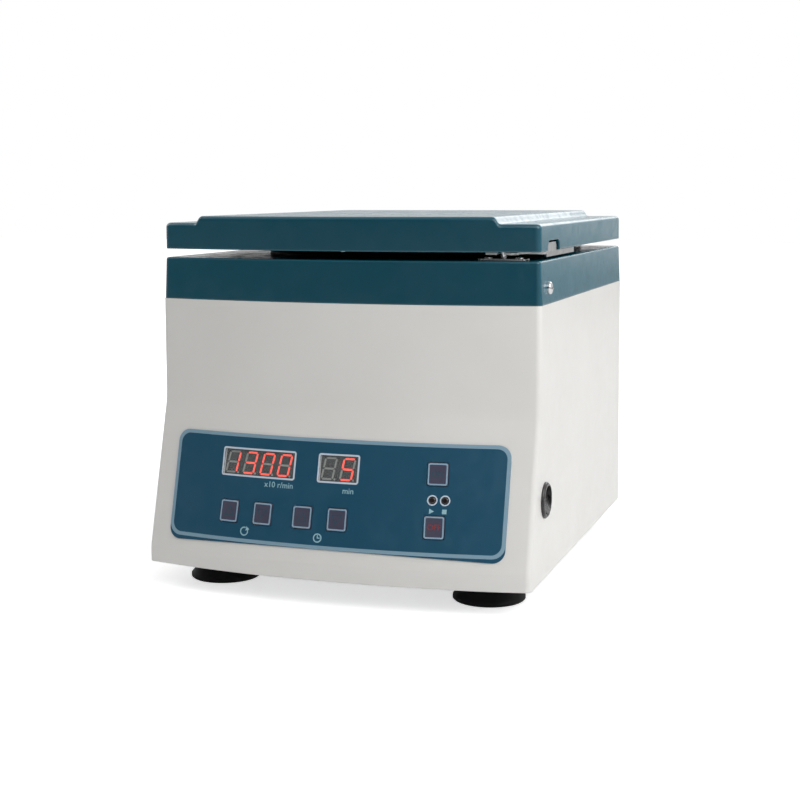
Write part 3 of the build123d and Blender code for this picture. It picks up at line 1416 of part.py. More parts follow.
with BuildPart() as inlet_screws:
    for side in (-1, 1):
        with Locations(Plane(origin=(inlet_x + side * inlet_screw_spacing / 2,
                                     back_y + inlet_flange_thickness,
                                     foot_height + inlet_height), x_dir=(-1, 0, 0), z_dir=(0, 1, 0))):
            add(small_screw)
export(inlet_screws, "inlet_screws")

with BuildPart() as fuse_holder:
    with BuildSketch(fuse_plane):
        Circle(fuse_cap_radius)
    extrude(amount=fuse_cap_reach)
    with BuildSketch(fuse_plane.offset(fuse_cap_reach)):
        Rectangle(2 * fuse_cap_radius, fuse_slot_width)
    extrude(amount=-fuse_slot_depth, mode=Mode.SUBTRACT)
    with BuildSketch(fuse_plane):
        Circle(fuse_body_radius)
    extrude(amount=-fuse_body_length)
export(fuse_holder, "fuse_holder")

# Driver board
with BuildPart() as driver_board:
    with BuildSketch(Plane.XY.offset(base_top + driver_stand_height)):
        with Locations((driver_board_x, driver_board_y)):
            Rectangle(driver_board_width, driver_board_length)
        with Locations(*driver_stand_spots):
            Circle(small_shank_radius + thread_clearance, mode=Mode.SUBTRACT)
    extrude(amount=board_thickness)
export(driver_board, "driver_board")

with BuildPart() as heat_sink:
    with Locations((driver_board_x, driver_board_y + heat_sink_shift, driver_board_top)):
        Box(heat_sink_width, heat_sink_length, heat_sink_base, align=(Align.CENTER, Align.CENTER, Align.MIN))
        with GridLocations((heat_sink_width - heat_sink_fin) / (heat_sink_fins - 1), 1, heat_sink_fins, 1):
            Box(heat_sink_fin, heat_sink_length, heat_sink_height, align=(Align.CENTER, Align.CENTER,
                                                                          Align.MIN))
export(heat_sink, "heat_sink")

with BuildPart() as capacitors:
    with Locations((driver_board_x, driver_board_y - driver_board_length / 2 + capacitor_from_end,
                    driver_board_top)):
        with GridLocations(capacitor_spacing, 1, 2, 1):
            Cylinder(capacitor_radius, capacitor_height, align=(Align.CENTER, Align.CENTER, Align.MIN))
export(capacitors, "capacitors")
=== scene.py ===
"""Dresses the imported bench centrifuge: smooth shells, printed panel, fittings and finishes."""

import json
import logging
import math
from collections.abc import Callable, Iterable, Sequence
from dataclasses import dataclass
from enum import Enum
from functools import cache

import bmesh
import bpy
from mathutils import Matrix, Vector

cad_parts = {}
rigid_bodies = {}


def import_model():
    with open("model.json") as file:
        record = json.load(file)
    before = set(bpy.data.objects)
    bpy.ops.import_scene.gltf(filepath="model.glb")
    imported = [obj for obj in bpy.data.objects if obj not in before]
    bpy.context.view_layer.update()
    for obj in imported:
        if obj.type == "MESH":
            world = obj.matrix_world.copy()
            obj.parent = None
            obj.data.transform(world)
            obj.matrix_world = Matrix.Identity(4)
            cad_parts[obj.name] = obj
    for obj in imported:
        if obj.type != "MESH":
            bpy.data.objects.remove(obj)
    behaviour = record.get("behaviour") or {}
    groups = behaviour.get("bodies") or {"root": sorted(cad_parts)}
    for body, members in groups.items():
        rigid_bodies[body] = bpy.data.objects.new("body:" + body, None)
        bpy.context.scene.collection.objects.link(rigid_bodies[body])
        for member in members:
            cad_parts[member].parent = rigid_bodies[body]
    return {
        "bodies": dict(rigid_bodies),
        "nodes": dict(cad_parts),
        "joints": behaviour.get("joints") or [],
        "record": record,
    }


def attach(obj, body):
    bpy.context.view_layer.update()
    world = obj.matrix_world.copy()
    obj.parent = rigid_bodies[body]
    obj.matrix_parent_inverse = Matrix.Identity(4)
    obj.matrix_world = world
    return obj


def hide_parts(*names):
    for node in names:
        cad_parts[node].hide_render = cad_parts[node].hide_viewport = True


LOG = logging.getLogger("centrifuge")
MM = 0.001

Flat = tuple[float, float]
Triple = tuple[float, float, float]
Value = float | str | Sequence[float] | bpy.types.NodeSocket
Loop = list[Flat]
Where = Callable[[float, float, float], Vector]
Mesh = bpy.types.Mesh
Piece = bpy.types.Object
Socket = bpy.types.NodeSocket
Sockets = bpy.types.bpy_prop_collection
Tree = bpy.types.NodeTree


class Look(Enum):
    """How a finished surface answers light."""

    MOULDED = "moulded"
    BRUSHED = "brushed"
    TURNED = "turned"
    LIT = "lit"
    CLEAR = "clear"


@dataclass(frozen=True)
class Slope:
    """The bowed, slanted front that carries the panel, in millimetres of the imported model's frame."""

    foot_height: float = 16.5
    half_width: float = 130.0
    front: float = -130.75
    bow: float = 13.8
    flare: float = 25.8
    bend_height: float = 106.0
    lip_height: float = 10.0

    @property
    def radius(self) -> float:
        """Radius of the bow."""
        return (self.half_width**2 + self.bow**2) / (2 * self.bow)

    @property
    def lean(self) -> float:
        """Angle of the slope from upright, in radians."""
        return math.atan2(self.flare, self.bend_height - self.lip_height)

    def axes(self, x: float) -> tuple[Vector, Vector, Vector]:
        """The directions across, up and out of the slope at one x."""
        turn = math.asin(x / self.radius)
        across = Vector((math.cos(turn), math.sin(turn), 0.0))
        out = across.cross(Vector((0.0, math.sin(self.lean), math.cos(self.lean)))).normalized()
        return across, out.cross(across), out

    def point(self, x: float, up: float, proud: float = 0.0) -> Vector:
        """The point across, up from the bend, so negative on the panel, and above the surface."""
        back = self.front + self.radius - math.sqrt(self.radius**2 - x**2)
        height = self.foot_height + self.bend_height + up * math.cos(self.lean)
        spot = Vector((x, back + up * math.sin(self.lean), height))
        return spot + self.axes(x)[2] * proud

    def flat_at(self, x: float, up: float) -> Where:
        """The flat plane that touches the slope at one point, for keys and display modules."""
        origin = self.point(x, up)
        across, upward, out = self.axes(x)
        return lambda u, v, h: origin + across * u + upward * v + out * h


SLOPE = Slope()
CHAMBER = (0.0, 14.55)
HARD_EDGE = 30.0  # degrees
PRINT_THICKNESS = 0.04  # millimetres
COLUMN_WIDTH = 6.0  # millimetres


# Nodes


SOCKET_TYPES = {
    "Vector": "Vector", "Normal": "Vector", "Centre": "Vector", "Tilt": "Rotation", "Count": "Int",
    "Piece": "Object", "Finish": "Material", "Geometry": "Geometry"}


def new_tree(kind: str, name: str, inputs: str, outputs: str) -> tuple[Tree, Sockets, Sockets]:
    """Makes an empty node group.

    Args:
        kind: "Shader" or "Geometry".
        name: Name of the group.
        inputs: Names of its inputs; those without a type of their own are plain numbers.
        outputs: Names of its outputs.

    Returns:
        The group, what its inputs give and what its outputs take.
    """
    tree = bpy.data.node_groups.new(name, f"{kind}NodeTree")
    for way, labels in (("INPUT", inputs), ("OUTPUT", outputs)):
        for label in labels.split():
            what = "NodeSocket" + SOCKET_TYPES.get(label, "Float")
            tree.interface.new_socket(label, in_out=way, socket_type=what)
    return tree, tree.nodes.new("NodeGroupInput").outputs, tree.nodes.new("NodeGroupOutput").inputs


def give(socket: Socket, value: Value) -> None:
    """Feeds an input from an output, or else sets its value."""
    if isinstance(value, Socket):
        socket.id_data.links.new(value, socket)
    else:
        socket.default_value = (*value, 1.0) if socket.type == "RGBA" else value


def set_inputs(node: bpy.types.Node, **values: Value) -> None:
    """Feeds or sets a node's inputs by name."""
    for name, value in values.items():
        give(node.inputs[name.replace("_", " ")], value)


def add_node(tree: Tree, kind: str, **settings: Value | Tree) -> Sockets:
    """Adds a node with its properties and inputs by name, and gives its outputs."""
    prefix = "" if kind.startswith("Function") else tree.bl_idname.removesuffix("Tree")
    node = tree.nodes.new(prefix + kind)
    for name, value in settings.items():
        if hasattr(node, name):
            setattr(node, name, value)
        else:
            set_inputs(node, **{name: value})
    return node.outputs


def maths(tree: Tree, operation: str, *operands: Value, kind: str = "Math") -> Socket:
    """Adds a Math or VectorMath node and gives its number."""
    node = tree.nodes.new(f"ShaderNode{kind}")
    node.operation = operation
    for socket, value in zip(node.inputs, operands):
        give(socket, value)
    return node.outputs["Value"]


def times(tree: Tree, first: Value, second: Value) -> Socket:
    """Multiplies two numbers."""
    return maths(tree, "MULTIPLY", first, second)


def blend(tree: Tree, kind: str, share: Socket, first: Value, second: Value) -> Socket:
    """Blends two values of the kind "VECTOR" or "RGBA"."""
    node = tree.nodes.new("ShaderNodeMix")
    node.data_type = kind
    place = {"VECTOR": 4, "RGBA": 6}[kind]
    for socket, value in zip((node.inputs[0], *node.inputs[place:place + 2]), (share, first, second)):
        give(socket, value)
    return node.outputs[place // 2 - 1]


def bumped(tree: Tree, given: Sockets, height: Socket) -> Socket:
    """The given normal with a relief of the given depth."""
    bump = add_node(tree, "Bump", Strength=1.0, Height=height, Distance=given["Depth"],
                    Normal=given["Normal"])
    return bump["Normal"]


@cache
def moulded_grain() -> Tree:
    """Fine spark texture over a slow waviness, as a normal."""
    tree, given, result = new_tree("Shader", "moulded_grain", "Vector Scale Depth Normal", "Normal")
    fine = add_node(tree, "TexNoise", Vector=given["Vector"], Scale=given["Scale"], Detail=3.0, Roughness=0.6)
    slow = add_node(tree, "TexNoise", Vector=given["Vector"], Scale=times(tree, given["Scale"], 0.06),
                    Detail=1.0)
    height = maths(tree, "ADD", fine["Fac"], times(tree, slow["Fac"], 2.5))
    give(result["Normal"], bumped(tree, given, height))
    return tree


@cache
def handling_soil() -> Tree:
    """Cloudy dust and finger smears, as one mask for colour and one for gloss."""
    tree, given, result = new_tree("Shader", "handling_soil", "Vector Scale", "Tint Smear")
    cloud = add_node(tree, "TexNoise", Vector=given["Vector"], Scale=given["Scale"], Detail=5.0,
                     Roughness=0.55)
    smear = add_node(tree, "TexNoise", Vector=given["Vector"], Scale=times(tree, given["Scale"], 4.0),
                     Detail=2.0, Distortion=1.6)
    for label, noise in (("Tint", cloud), ("Smear", smear)):
        spread = add_node(tree, "MapRange", Value=noise["Fac"], From_Min=0.35, From_Max=0.7)
        give(result[label], spread["Result"])
    return tree


@cache
def soft_edges() -> Tree:
    """Rounded edges: a rounded normal and a mask that is bright along each edge, for rubbed wear and a
    painted edge highlight.
    """
    tree, given, result = new_tree("Shader", "soft_edges", "Radius", "Normal Mask")
    round_normal = add_node(tree, "Bevel", samples=6, Radius=given["Radius"])["Normal"]
    plain_normal = add_node(tree, "NewGeometry")["Normal"]
    likeness = maths(tree, "DOT_PRODUCT", round_normal, plain_normal, kind="VectorMath")
    turned = maths(tree, "SUBTRACT", 1.0, likeness)
    spread = add_node(tree, "MapRange", Value=turned, From_Min=0.01, From_Max=0.12)
    give(result["Normal"], round_normal)
    give(result["Mask"], spread["Result"])
    return tree


@cache
def tool_marks() -> Tree:
    """Lines of a brush or a lathe tool, straight or round the chamber's axis."""
    tree, given, result = new_tree("Shader", "tool_marks", "Vector Round Depth Normal", "Normal Lines")
    lines_per_metre = 2500.0
    straight = add_node(tree, "Mapping", Vector=given["Vector"], Scale=(30.0, 4000.0, 4000.0))
    centred = add_node(tree, "Mapping", Vector=given["Vector"],
                       Location=(-CHAMBER[0] * MM, -CHAMBER[1] * MM, 0.0))
    parts = add_node(tree, "SeparateXYZ", Vector=centred["Vector"])
    flat = add_node(tree, "CombineXYZ", X=parts["X"], Y=parts["Y"])
    reach = maths(tree, "LENGTH", flat["Vector"], kind="VectorMath")
    ring = add_node(tree, "CombineXYZ", X=times(tree, reach, lines_per_metre),
                    Y=times(tree, parts["Z"], lines_per_metre))
    choice = blend(tree, "VECTOR", given["Round"], straight["Vector"], ring["Vector"])
    noise = add_node(tree, "TexNoise", Vector=choice, Scale=1.0, Detail=2.0)
    give(result["Normal"], bumped(tree, given, noise["Fac"]))
    give(result["Lines"], noise["Fac"])
    return tree


# Finishes


@dataclass(frozen=True)
class Finish:
    """One surface finish, from which its material is built."""

    name: str
    colour: Triple
    roughness: float
    slot: str = ""
    look: Look = Look.MOULDED
    metallic: float = 0.0
    grain: float = 900.0
    depth: float = 1.5e-5
    soil: float = 0.06
    soil_colour: Triple = (0.3, 0.28, 0.24)
    # share and colour of the edges' tint: partly rubbed wear, partly a painted edge highlight
    wear_and_highlight: float = 0.1
    wear_and_highlight_colour: Triple = (0.6, 0.6, 0.6)
    edge: float = 0.0004
    specular: float = 0.5
    coat: float = 0.0
    glow: float = 0.0
    alpha: float = 1.0
    # painted sheen: a lighter colour that the surface turns towards where it is seen at a glancing angle
    painted_sheen_colour: Triple | None = None
    soil_scale: float = 14.0
    smear_spread: float = 0.12
    line_spread: float = 0.3
    coat_roughness: float = 0.06

    @cache
    def material(self) -> bpy.types.Material:
        """Builds the material once.

        Returns:
            A node material whose colour, gloss and relief vary over the surface, with edges lightened by wear
            and a painted highlight, and an optional painted sheen at glancing angles.
        """
        material = bpy.data.materials.new(self.name)
        material.use_nodes = True
        material.diffuse_color = (*self.colour, 1.0)
        tree = material.node_tree
        shader = tree.nodes["Principled BSDF"]
        place = add_node(tree, "TexCoord")["Object"]
        edges = add_node(tree, "Group", node_tree=soft_edges(), Radius=self.edge)
        soil = add_node(tree, "Group", node_tree=handling_soil(), Vector=place, Scale=self.soil_scale)
        relief = self.relief(tree, place, edges["Normal"])
        tinted = blend(tree, "RGBA", times(tree, soil["Tint"], self.soil), self.colour, self.soil_colour)
        # Edges turn lighter: partly rubbed wear, partly a painted highlight along each edge.
        worn_and_highlit = blend(tree, "RGBA", times(tree, edges["Mask"], self.wear_and_highlight), tinted, self.wear_and_highlight_colour)
        # Painted sheen: the colour blends towards the sheen colour where the surface is seen at a glancing
        # angle.
        if self.painted_sheen_colour:
            view = add_node(tree, "LayerWeight", Blend=0.5)
            worn_and_highlit = blend(tree, "RGBA", view["Facing"], worn_and_highlit, self.painted_sheen_colour)
        smear = times(tree, maths(tree, "SUBTRACT", soil["Smear"], 0.5), self.smear_spread)
        gloss = maths(tree, "ADD", smear, self.roughness)
        if "Lines" in relief:
            line = times(tree, maths(tree, "SUBTRACT", relief["Lines"], 0.5), self.line_spread)
            gloss = maths(tree, "ADD", gloss, line)
        set_inputs(shader, Base_Color=worn_and_highlit, Roughness=gloss, Normal=relief["Normal"],
                   Metallic=self.metallic, Specular_IOR_Level=self.specular, Coat_Weight=self.coat,
                   Coat_Roughness=self.coat_roughness)
        if self.look is Look.LIT:
            set_inputs(shader, Emission_Color=self.colour, Emission_Strength=self.glow)
        if self.look is Look.CLEAR:
            set_inputs(shader, Alpha=self.alpha)
        return material

    def relief(self, tree: Tree, place: Socket, normal: Socket) -> Sockets:
        """The grain or tool marks that suit the finish's look."""
        if self.look in (Look.BRUSHED, Look.TURNED):
            own = {"node_tree": tool_marks(), "Round": float(self.look is Look.TURNED)}
        else:
            own = {"node_tree": moulded_grain(), "Scale": self.grain}
        return add_node(tree, "Group", **own, Vector=place, Normal=normal, Depth=self.depth)


def ink(name: str, colour: Triple, slot: str, roughness: float = 0.4) -> Finish:
    """The finish of a print on a film."""
    return Finish(name, colour, roughness, slot=slot, grain=2600, depth=4e-6, edge=0.0001, soil=0.03)


FINISHES = {finish.name: finish for finish in (
    Finish("white_moulding", (0.80, 0.79, 0.765), 0.34, grain=1500, depth=8e-6, soil=0.05, wear_and_highlight=0.15,
        wear_and_highlight_colour=(0.95, 0.95, 0.95), edge=0.0008),
    # The teal takes a painted sheen at glancing angles and a bright painted highlight along its edges.
    Finish("teal_moulding", (0.005, 0.060, 0.092), 0.2, grain=1400, depth=6e-6, soil=0.05, wear_and_highlight=0.35,
        soil_colour=(0.03, 0.09, 0.12), wear_and_highlight_colour=(0.10, 0.40, 0.52), edge=0.0016,
        painted_sheen_colour=(0.0, 0.13, 0.19)),
    Finish("black_plastic", (0.012, 0.012, 0.013), 0.3, grain=1200, wear_and_highlight_colour=(0.15, 0.15, 0.15)),
    Finish("liner_plastic", (0.03, 0.031, 0.034), 0.5, grain=700, depth=4e-5,
        wear_and_highlight_colour=(0.15, 0.15, 0.15)),
    Finish("black_rubber", (0.004, 0.004, 0.0042), 0.6, specular=0.2, grain=1600, depth=5e-5, soil=0.1,
        soil_colour=(0.08, 0.075, 0.07), wear_and_highlight_colour=(0.08, 0.08, 0.08)),
    Finish("panel_film", (0.010, 0.078, 0.140), 0.36, grain=2600, depth=5e-6, soil=0.03,
        soil_colour=(0.03, 0.1, 0.15), wear_and_highlight_colour=(0.2, 0.35, 0.42), edge=0.0002),
    Finish("key_film", (0.062, 0.062, 0.105), 0.38, grain=2600, depth=6e-6, soil=0.04,
        wear_and_highlight_colour=(0.15, 0.17, 0.22), edge=0.0002),
    Finish("display_face", (0.040, 0.041, 0.044), 0.4, grain=2000, depth=8e-6, soil=0.04),
    Finish("display_window", (0.55, 0.6, 0.6), 0.05, look=Look.CLEAR, alpha=0.07, edge=0.0001, soil=0.0,
        depth=1e-7),
    Finish("lamp_lens", (0.008, 0.004, 0.006), 0.12, grain=3000, depth=4e-6, coat=0.4, edge=0.0002),
    Finish("stainless", (0.56, 0.565, 0.57), 0.26, look=Look.BRUSHED, metallic=1.0, depth=4e-6, edge=0.0003,
        wear_and_highlight_colour=(0.8, 0.8, 0.8)),
    Finish("bright_steel", (0.72, 0.72, 0.73), 0.14, look=Look.TURNED, metallic=1.0, depth=2e-6,
        edge=0.0003, wear_and_highlight_colour=(0.9, 0.9, 0.9)),
    Finish("zinc_steel", (0.5, 0.51, 0.53), 0.36, look=Look.BRUSHED, metallic=1.0, depth=5e-6, soil=0.15,
        soil_colour=(0.35, 0.34, 0.3), wear_and_highlight_colour=(0.7, 0.7, 0.7)),
    Finish("rotor_aluminium", (0.55, 0.57, 0.6), 0.3, look=Look.TURNED, metallic=1.0, depth=5e-6,
        wear_and_highlight_colour=(0.85, 0.85, 0.86)),
    Finish("motor_casting", (0.09, 0.095, 0.1), 0.5, grain=500, depth=6e-5, metallic=0.4,
        wear_and_highlight_colour=(0.3, 0.3, 0.3)),
    Finish("winding", (0.32, 0.12, 0.035), 0.35, look=Look.TURNED, metallic=0.7, depth=5e-5),
    Finish("circuit_board", (0.012, 0.085, 0.035), 0.35, grain=800, depth=1e-5,
        wear_and_highlight_colour=(0.3, 0.35, 0.2)),
    Finish("pin_brass", (0.55, 0.42, 0.16), 0.25, look=Look.BRUSHED, metallic=1.0, depth=2e-6),
    ink("border_ink", (0.235, 0.375, 0.475), "panel_film", roughness=0.35),
    ink("frame_ink", (0.62, 0.70, 0.80), "panel_film"),
    ink("label_ink", (0.33, 0.56, 0.64), "panel_film"),
    ink("key_ink", (0.28, 0.42, 0.54), "key_film"),
    ink("faint_ink", (0.02, 0.075, 0.11), "key_film"),
    ink("red_ink", (0.30, 0.03, 0.028), "key_film"),
    Finish("lit_segment", (1.0, 0.09, 0.055), 0.4, slot="display_face", look=Look.LIT, glow=0.9, soil=0.0),
    Finish("dark_segment", (0.34, 0.35, 0.33), 0.5, slot="display_face", grain=2600, depth=4e-6, soil=0.1),
    Finish("engraving", (0.03, 0.03, 0.033), 0.6, slot="rotor_aluminium", grain=2600, depth=4e-6, soil=0.1),
)}


# Meshes


def link_object(name: str, data: bpy.types.ID) -> Piece:
    """Adds an object to the scene."""
    piece = bpy.data.objects.new(name, data)
    bpy.context.scene.collection.objects.link(piece)
    return piece


def add_object(name: str, mesh: Mesh, finishes: Sequence[str] = ()) -> Piece:
    """Links a mesh as a new object at the origin and gives it its finishes."""
    mesh.name = name
    if finishes:
        mesh.materials.clear()
    for finish in finishes:
        mesh.materials.append(FINISHES[finish].material())
    return link_object(name, mesh)


def shade(mesh: Mesh) -> None:
    """Shades a mesh smoothly, apart from its hard edges."""
    mesh.update()
    mesh.polygons.foreach_set("use_smooth", [True] * len(mesh.polygons))
    mesh.set_sharp_from_angle(angle=math.radians(HARD_EDGE))


def evaluated(piece: Piece) -> Mesh:
    """A plain mesh of a piece as its modifiers, its curve or its text make it."""
    graph = bpy.context.evaluated_depsgraph_get()
    graph.update()
    return bpy.data.meshes.new_from_object(piece.evaluated_get(graph), depsgraph=graph)


def bake(piece: Piece) -> Piece:
    """Turns a piece and its modifiers into one plain mesh."""
    baked = evaluated(piece)
    piece.modifiers.clear()
    piece.data = baked
    return piece


def keep_flats(piece: Piece) -> Piece:
    """Keeps large flat faces flat where they meet a rounding."""
    modifier = piece.modifiers.new("keep_flats", "WEIGHTED_NORMAL")
    modifier.keep_sharp = True
    modifier.weight = 80
    return bake(piece)


def solid(name: str, verts: Iterable[Vector], faces: Iterable[Sequence[int]],
          finishes: Sequence[str]) -> Piece:
    """Makes a closed piece from points in millimetres.

    Args:
        name: Name of the piece.
        verts: Points in the machine's frame.
        faces: Indices of each face's points.
        finishes: Names of its finishes.

    Returns:
        The piece with its faces turned outwards.
    """
    mesh = bpy.data.meshes.new(name)
    mesh.from_pydata([tuple(Vector(v) * MM) for v in verts], [], [tuple(f) for f in faces])
    work = bmesh.new()
    work.from_mesh(mesh)
    bmesh.ops.remove_doubles(work, verts=work.verts, dist=1e-7)
    bmesh.ops.dissolve_degenerate(work, edges=work.edges, dist=1e-7)
    bmesh.ops.recalc_face_normals(work, faces=work.faces)
    work.to_mesh(mesh)
    work.free()
    piece = add_object(name, mesh, finishes)
    shade(mesh)
    return piece


def prism(name: str, loop: Loop, where: Where, low: float, high: float, finishes: Sequence[str]) -> Piece:
    """A closed straight prism over a flat outline, from one height to another."""
    count = len(loop)
    verts = [where(u, v, level) for level in (low, high) for u, v in loop]
    faces = [(k, (k + 1) % count, (k + 1) % count + count, k + count) for k in range(count)]
    faces += [tuple(range(count)), tuple(range(count, 2 * count))]
    return solid(name, verts, faces, finishes)


def lathe(name: str, profile: Sequence[Flat], finishes: Sequence[str], steps: int = 40) -> Piece:
    """Turns a profile of radius and height, which starts and ends on the axis, about Z."""
    count = len(profile)
    turns = [2 * math.pi * k / steps for k in range(steps)]
    verts = [
        Vector((radius * math.cos(turn), radius * math.sin(turn), height))
        for turn in turns for radius, height in profile
    ]
    faces = []
    for k in range(steps):
        here, beside = k * count, (k + 1) % steps * count
        faces += [(here + row, beside + row, beside + row + 1, here + row + 1) for row in range(count - 1)]
    return solid(name, verts, faces, finishes)


# Flat shapes and prints


def rounded(width: float, height: float, corner: float, middle: Flat = (0.0, 0.0)) -> Loop:
    """The outline of a rectangle with round corners."""
    loop = []
    for quarter, (side, row) in enumerate(((1, 1), (-1, 1), (-1, -1), (1, -1))):
        for step in range(9):
            turn = math.pi / 2 * (quarter + step / 8)
            loop.append((middle[0] + side * (width / 2 - corner) + corner * math.cos(turn),
                         middle[1] + row * (height / 2 - corner) + corner * math.sin(turn)))
    return loop


def arc(radius: float, middle: Flat = (0.0, 0.0), start: float = 0.0, end: float = 360.0) -> Loop:
    """Points along a circle's arc between two angles in degrees; a whole circle isn't closed twice."""
    steps = max(8, round((end - start) / 9))
    last = steps if end - start < 360 else steps - 1
    turns = [math.radians(start + (end - start) * k / steps) for k in range(last + 1)]
    return [(middle[0] + radius * math.cos(t), middle[1] + radius * math.sin(t)) for t in turns]


def moved(loop: Loop, dx: float, dy: float) -> Loop:
    """The outline shifted in its plane."""
    return [(x + dx, y + dy) for x, y in loop]


def sliced(data: bpy.types.Curve) -> Mesh:
    """Fills a flat curve or text and slices it in columns that can follow the bow.

    Args:
        data: The curve or text, in millimetres.

    Returns:
        A flat mesh that faces up.
    """
    holder = link_object("flat", data)
    mesh = evaluated(holder)
    bpy.data.objects.remove(holder)
    work = bmesh.new()
    work.from_mesh(mesh)
    bmesh.ops.remove_doubles(work, verts=work.verts, dist=1e-4)
    places = [vert.co.x for vert in work.verts]
    column = math.ceil(min(places) / COLUMN_WIDTH) * COLUMN_WIDTH
    while column < max(places):
        everything = work.verts[:] + work.edges[:] + work.faces[:]
        bmesh.ops.bisect_plane(work, geom=everything, plane_co=(column, 0, 0), plane_no=(1, 0, 0),
                               dist=1e-4)
        column += COLUMN_WIDTH
    for face in work.faces:
        if face.normal.z < 0:
            face.normal_flip()
    work.to_mesh(mesh)
    work.free()
    return mesh


def stamp(*loops: Loop) -> Mesh:
    """Fills flat outlines; an outline inside another is a hole."""
    curve = bpy.data.curves.new("stamp", "CURVE")
    curve.dimensions = "2D"
    curve.fill_mode = "BOTH"
    for loop in loops:
        spline = curve.splines.new("POLY")
        spline.points.add(len(loop) - 1)
        for point, (x, y) in zip(spline.points, loop):
            point.co = (x, y, 0.0, 1.0)
        spline.use_cyclic_u = True
    return sliced(curve)


def border(width: float, height: float, line: float, corners: Flat, middle: Flat = (0.0, 0.0)) -> Mesh:
    """A flat frame of one line width, with its outer and its inner corner radius."""
    return stamp(rounded(width, height, corners[0], middle),
                 rounded(width - 2 * line, height - 2 * line, corners[1], middle))


def words(text: str, size: float, middle: Flat = (0.0, 0.0)) -> Mesh:
    """Flat lettering centred on a point."""
    curve = bpy.data.curves.new("words", "FONT")
    curve.body = text
    curve.size = size
    curve.align_x = "CENTER"
    curve.align_y = "CENTER"
    curve.offset = size * 0.008
    curve.resolution_u = 4
    mesh = sliced(curve)
    mesh.transform(Matrix.Translation((middle[0], middle[1], 0.0)))
    return mesh


def printed(name: str, flats: Sequence[Mesh], where: Where, level: float, finish: str) -> Piece:
    """Lays flat meshes on a surface as one thin closed print.

    Args:
        name: Name of the piece.
        flats: Flat meshes in millimetres.
        where: Gives the place of a point across, up and out.
        level: Height of the surface that carries the print.
        finish: Name of the ink's finish.

    Returns:
        The print.
    """
    work = bmesh.new()
    for flat in flats:
        work.from_mesh(flat)
        bpy.data.meshes.remove(flat)
    tops = work.faces[:]
    rims = [edge for edge in work.edges if edge.is_boundary]
    made = bmesh.ops.duplicate(work, geom=work.verts[:] + work.edges[:] + work.faces[:])
    twins = made["vert_map"]
    under = {twins[vert] for face in tops for vert in face.verts}
    for edge in rims:
        loop = edge.link_loops[0]
        first, second = loop.vert, edge.other_vert(loop.vert)
        work.faces.new((second, first, twins[first], twins[second]))
    for item in made["geom"]:
        if isinstance(item, bmesh.types.BMFace):
            item.normal_flip()
    for vert in work.verts:
        height = level if vert in under else level + PRINT_THICKNESS
        vert.co = where(vert.co.x, vert.co.y, height) * MM
    mesh = bpy.data.meshes.new(name)
    work.to_mesh(mesh)
    work.free()
    piece = add_object(name, mesh, [finish])
    shade(mesh)
    return piece


# Repeats


def finish_repeat(tree: Tree, instances: Socket, finish: Socket, result: Sockets) -> None:
    """Ends a repeat tree with Realize Instances and Set Material."""
    whole = add_node(tree, "RealizeInstances", Geometry=instances)
    painted = add_node(tree, "SetMaterial", Geometry=whole["Geometry"], Material=finish)
    give(result["Geometry"], painted["Geometry"])


def put_on_points(tree: Tree, piece: Socket, points: Socket, direction: Socket, **axes: str) -> Socket:
    """Puts a piece on points, with one of its axes along each point's direction."""
    shape = add_node(tree, "ObjectInfo", Object=piece)
    turn = add_node(tree, "FunctionNodeAlignRotationToVector", Vector=direction, **axes)
    return add_node(tree, "InstanceOnPoints", Points=points, Instance=shape["Geometry"],
                    Rotation=turn["Rotation"])["Instances"]


@cache
def repeat_at_points() -> Tree:
    """Puts a piece on each point of a mesh, with its Z along the point's "aim"."""
    tree, given, result = new_tree("Geometry", "repeat_at_points", "Geometry Piece Finish", "Geometry")
    aim = add_node(tree, "InputNamedAttribute", data_type="FLOAT_VECTOR", Name="aim")
    copies = put_on_points(tree, given["Piece"], given["Geometry"], aim["Attribute"], axis="Z")
    finish_repeat(tree, copies, given["Finish"], result)
    return tree


@cache
def repeat_round_axis() -> Tree:
    """Puts copies of a piece evenly round an axis, with its X pointing outwards."""
    tree, given, result = new_tree(
        "Geometry", "repeat_round_axis", "Geometry Piece Count Radius Centre Tilt Finish", "Geometry")
    ring = add_node(tree, "MeshCircle", Vertices=given["Count"], Radius=given["Radius"])
    spot = add_node(tree, "InputPosition")
    copies = put_on_points(tree, given["Piece"], ring["Mesh"], spot["Position"], axis="X", pivot_axis="Z")
    placed = add_node(tree, "Transform", Geometry=copies, Translation=given["Centre"],
                      Rotation=given["Tilt"])
    finish_repeat(tree, placed["Geometry"], given["Finish"], result)
    return tree


def run_repeat(name: str, tree: Tree, base: Mesh, piece: Piece, finish: str, **values: object) -> Piece:
    """Runs a repeat tree and bakes its result.

    Args:
        name: Name of the new piece.
        tree: The geometry tree.
        base: Mesh that the tree starts from.
        piece: The piece to repeat, which is removed afterwards.
        finish: Name of the finish.
        values: The tree's other inputs by name.

    Returns:
        One plain mesh with all the copies.
    """
    holder = add_object(name, base)
    modifier = holder.modifiers.new("repeat", "NODES")
    modifier.node_group = tree
    settings = {"Piece": piece, "Finish": FINISHES[finish].material(), **values}
    for socket in tree.interface.items_tree:
        if socket.in_out == "INPUT" and socket.name in settings:
            modifier[socket.identifier] = settings[socket.name]
    holder.update_tag()
    bake(holder)
    bpy.data.objects.remove(piece)
    shade(holder.data)
    return holder


def aimed_points(spots: Sequence[tuple[Vector, Vector]]) -> Mesh:
    """A mesh of loose points in metres, each with a direction in its "aim" attribute."""
    mesh = bpy.data.meshes.new("points")
    mesh.from_pydata([tuple(spot) for spot, _ in spots], [], [])
    aims = mesh.attributes.new("aim", "FLOAT_VECTOR", "POINT")
    for entry, (_, aim) in zip(aims.data, spots):
        entry.vector = aim
    return mesh


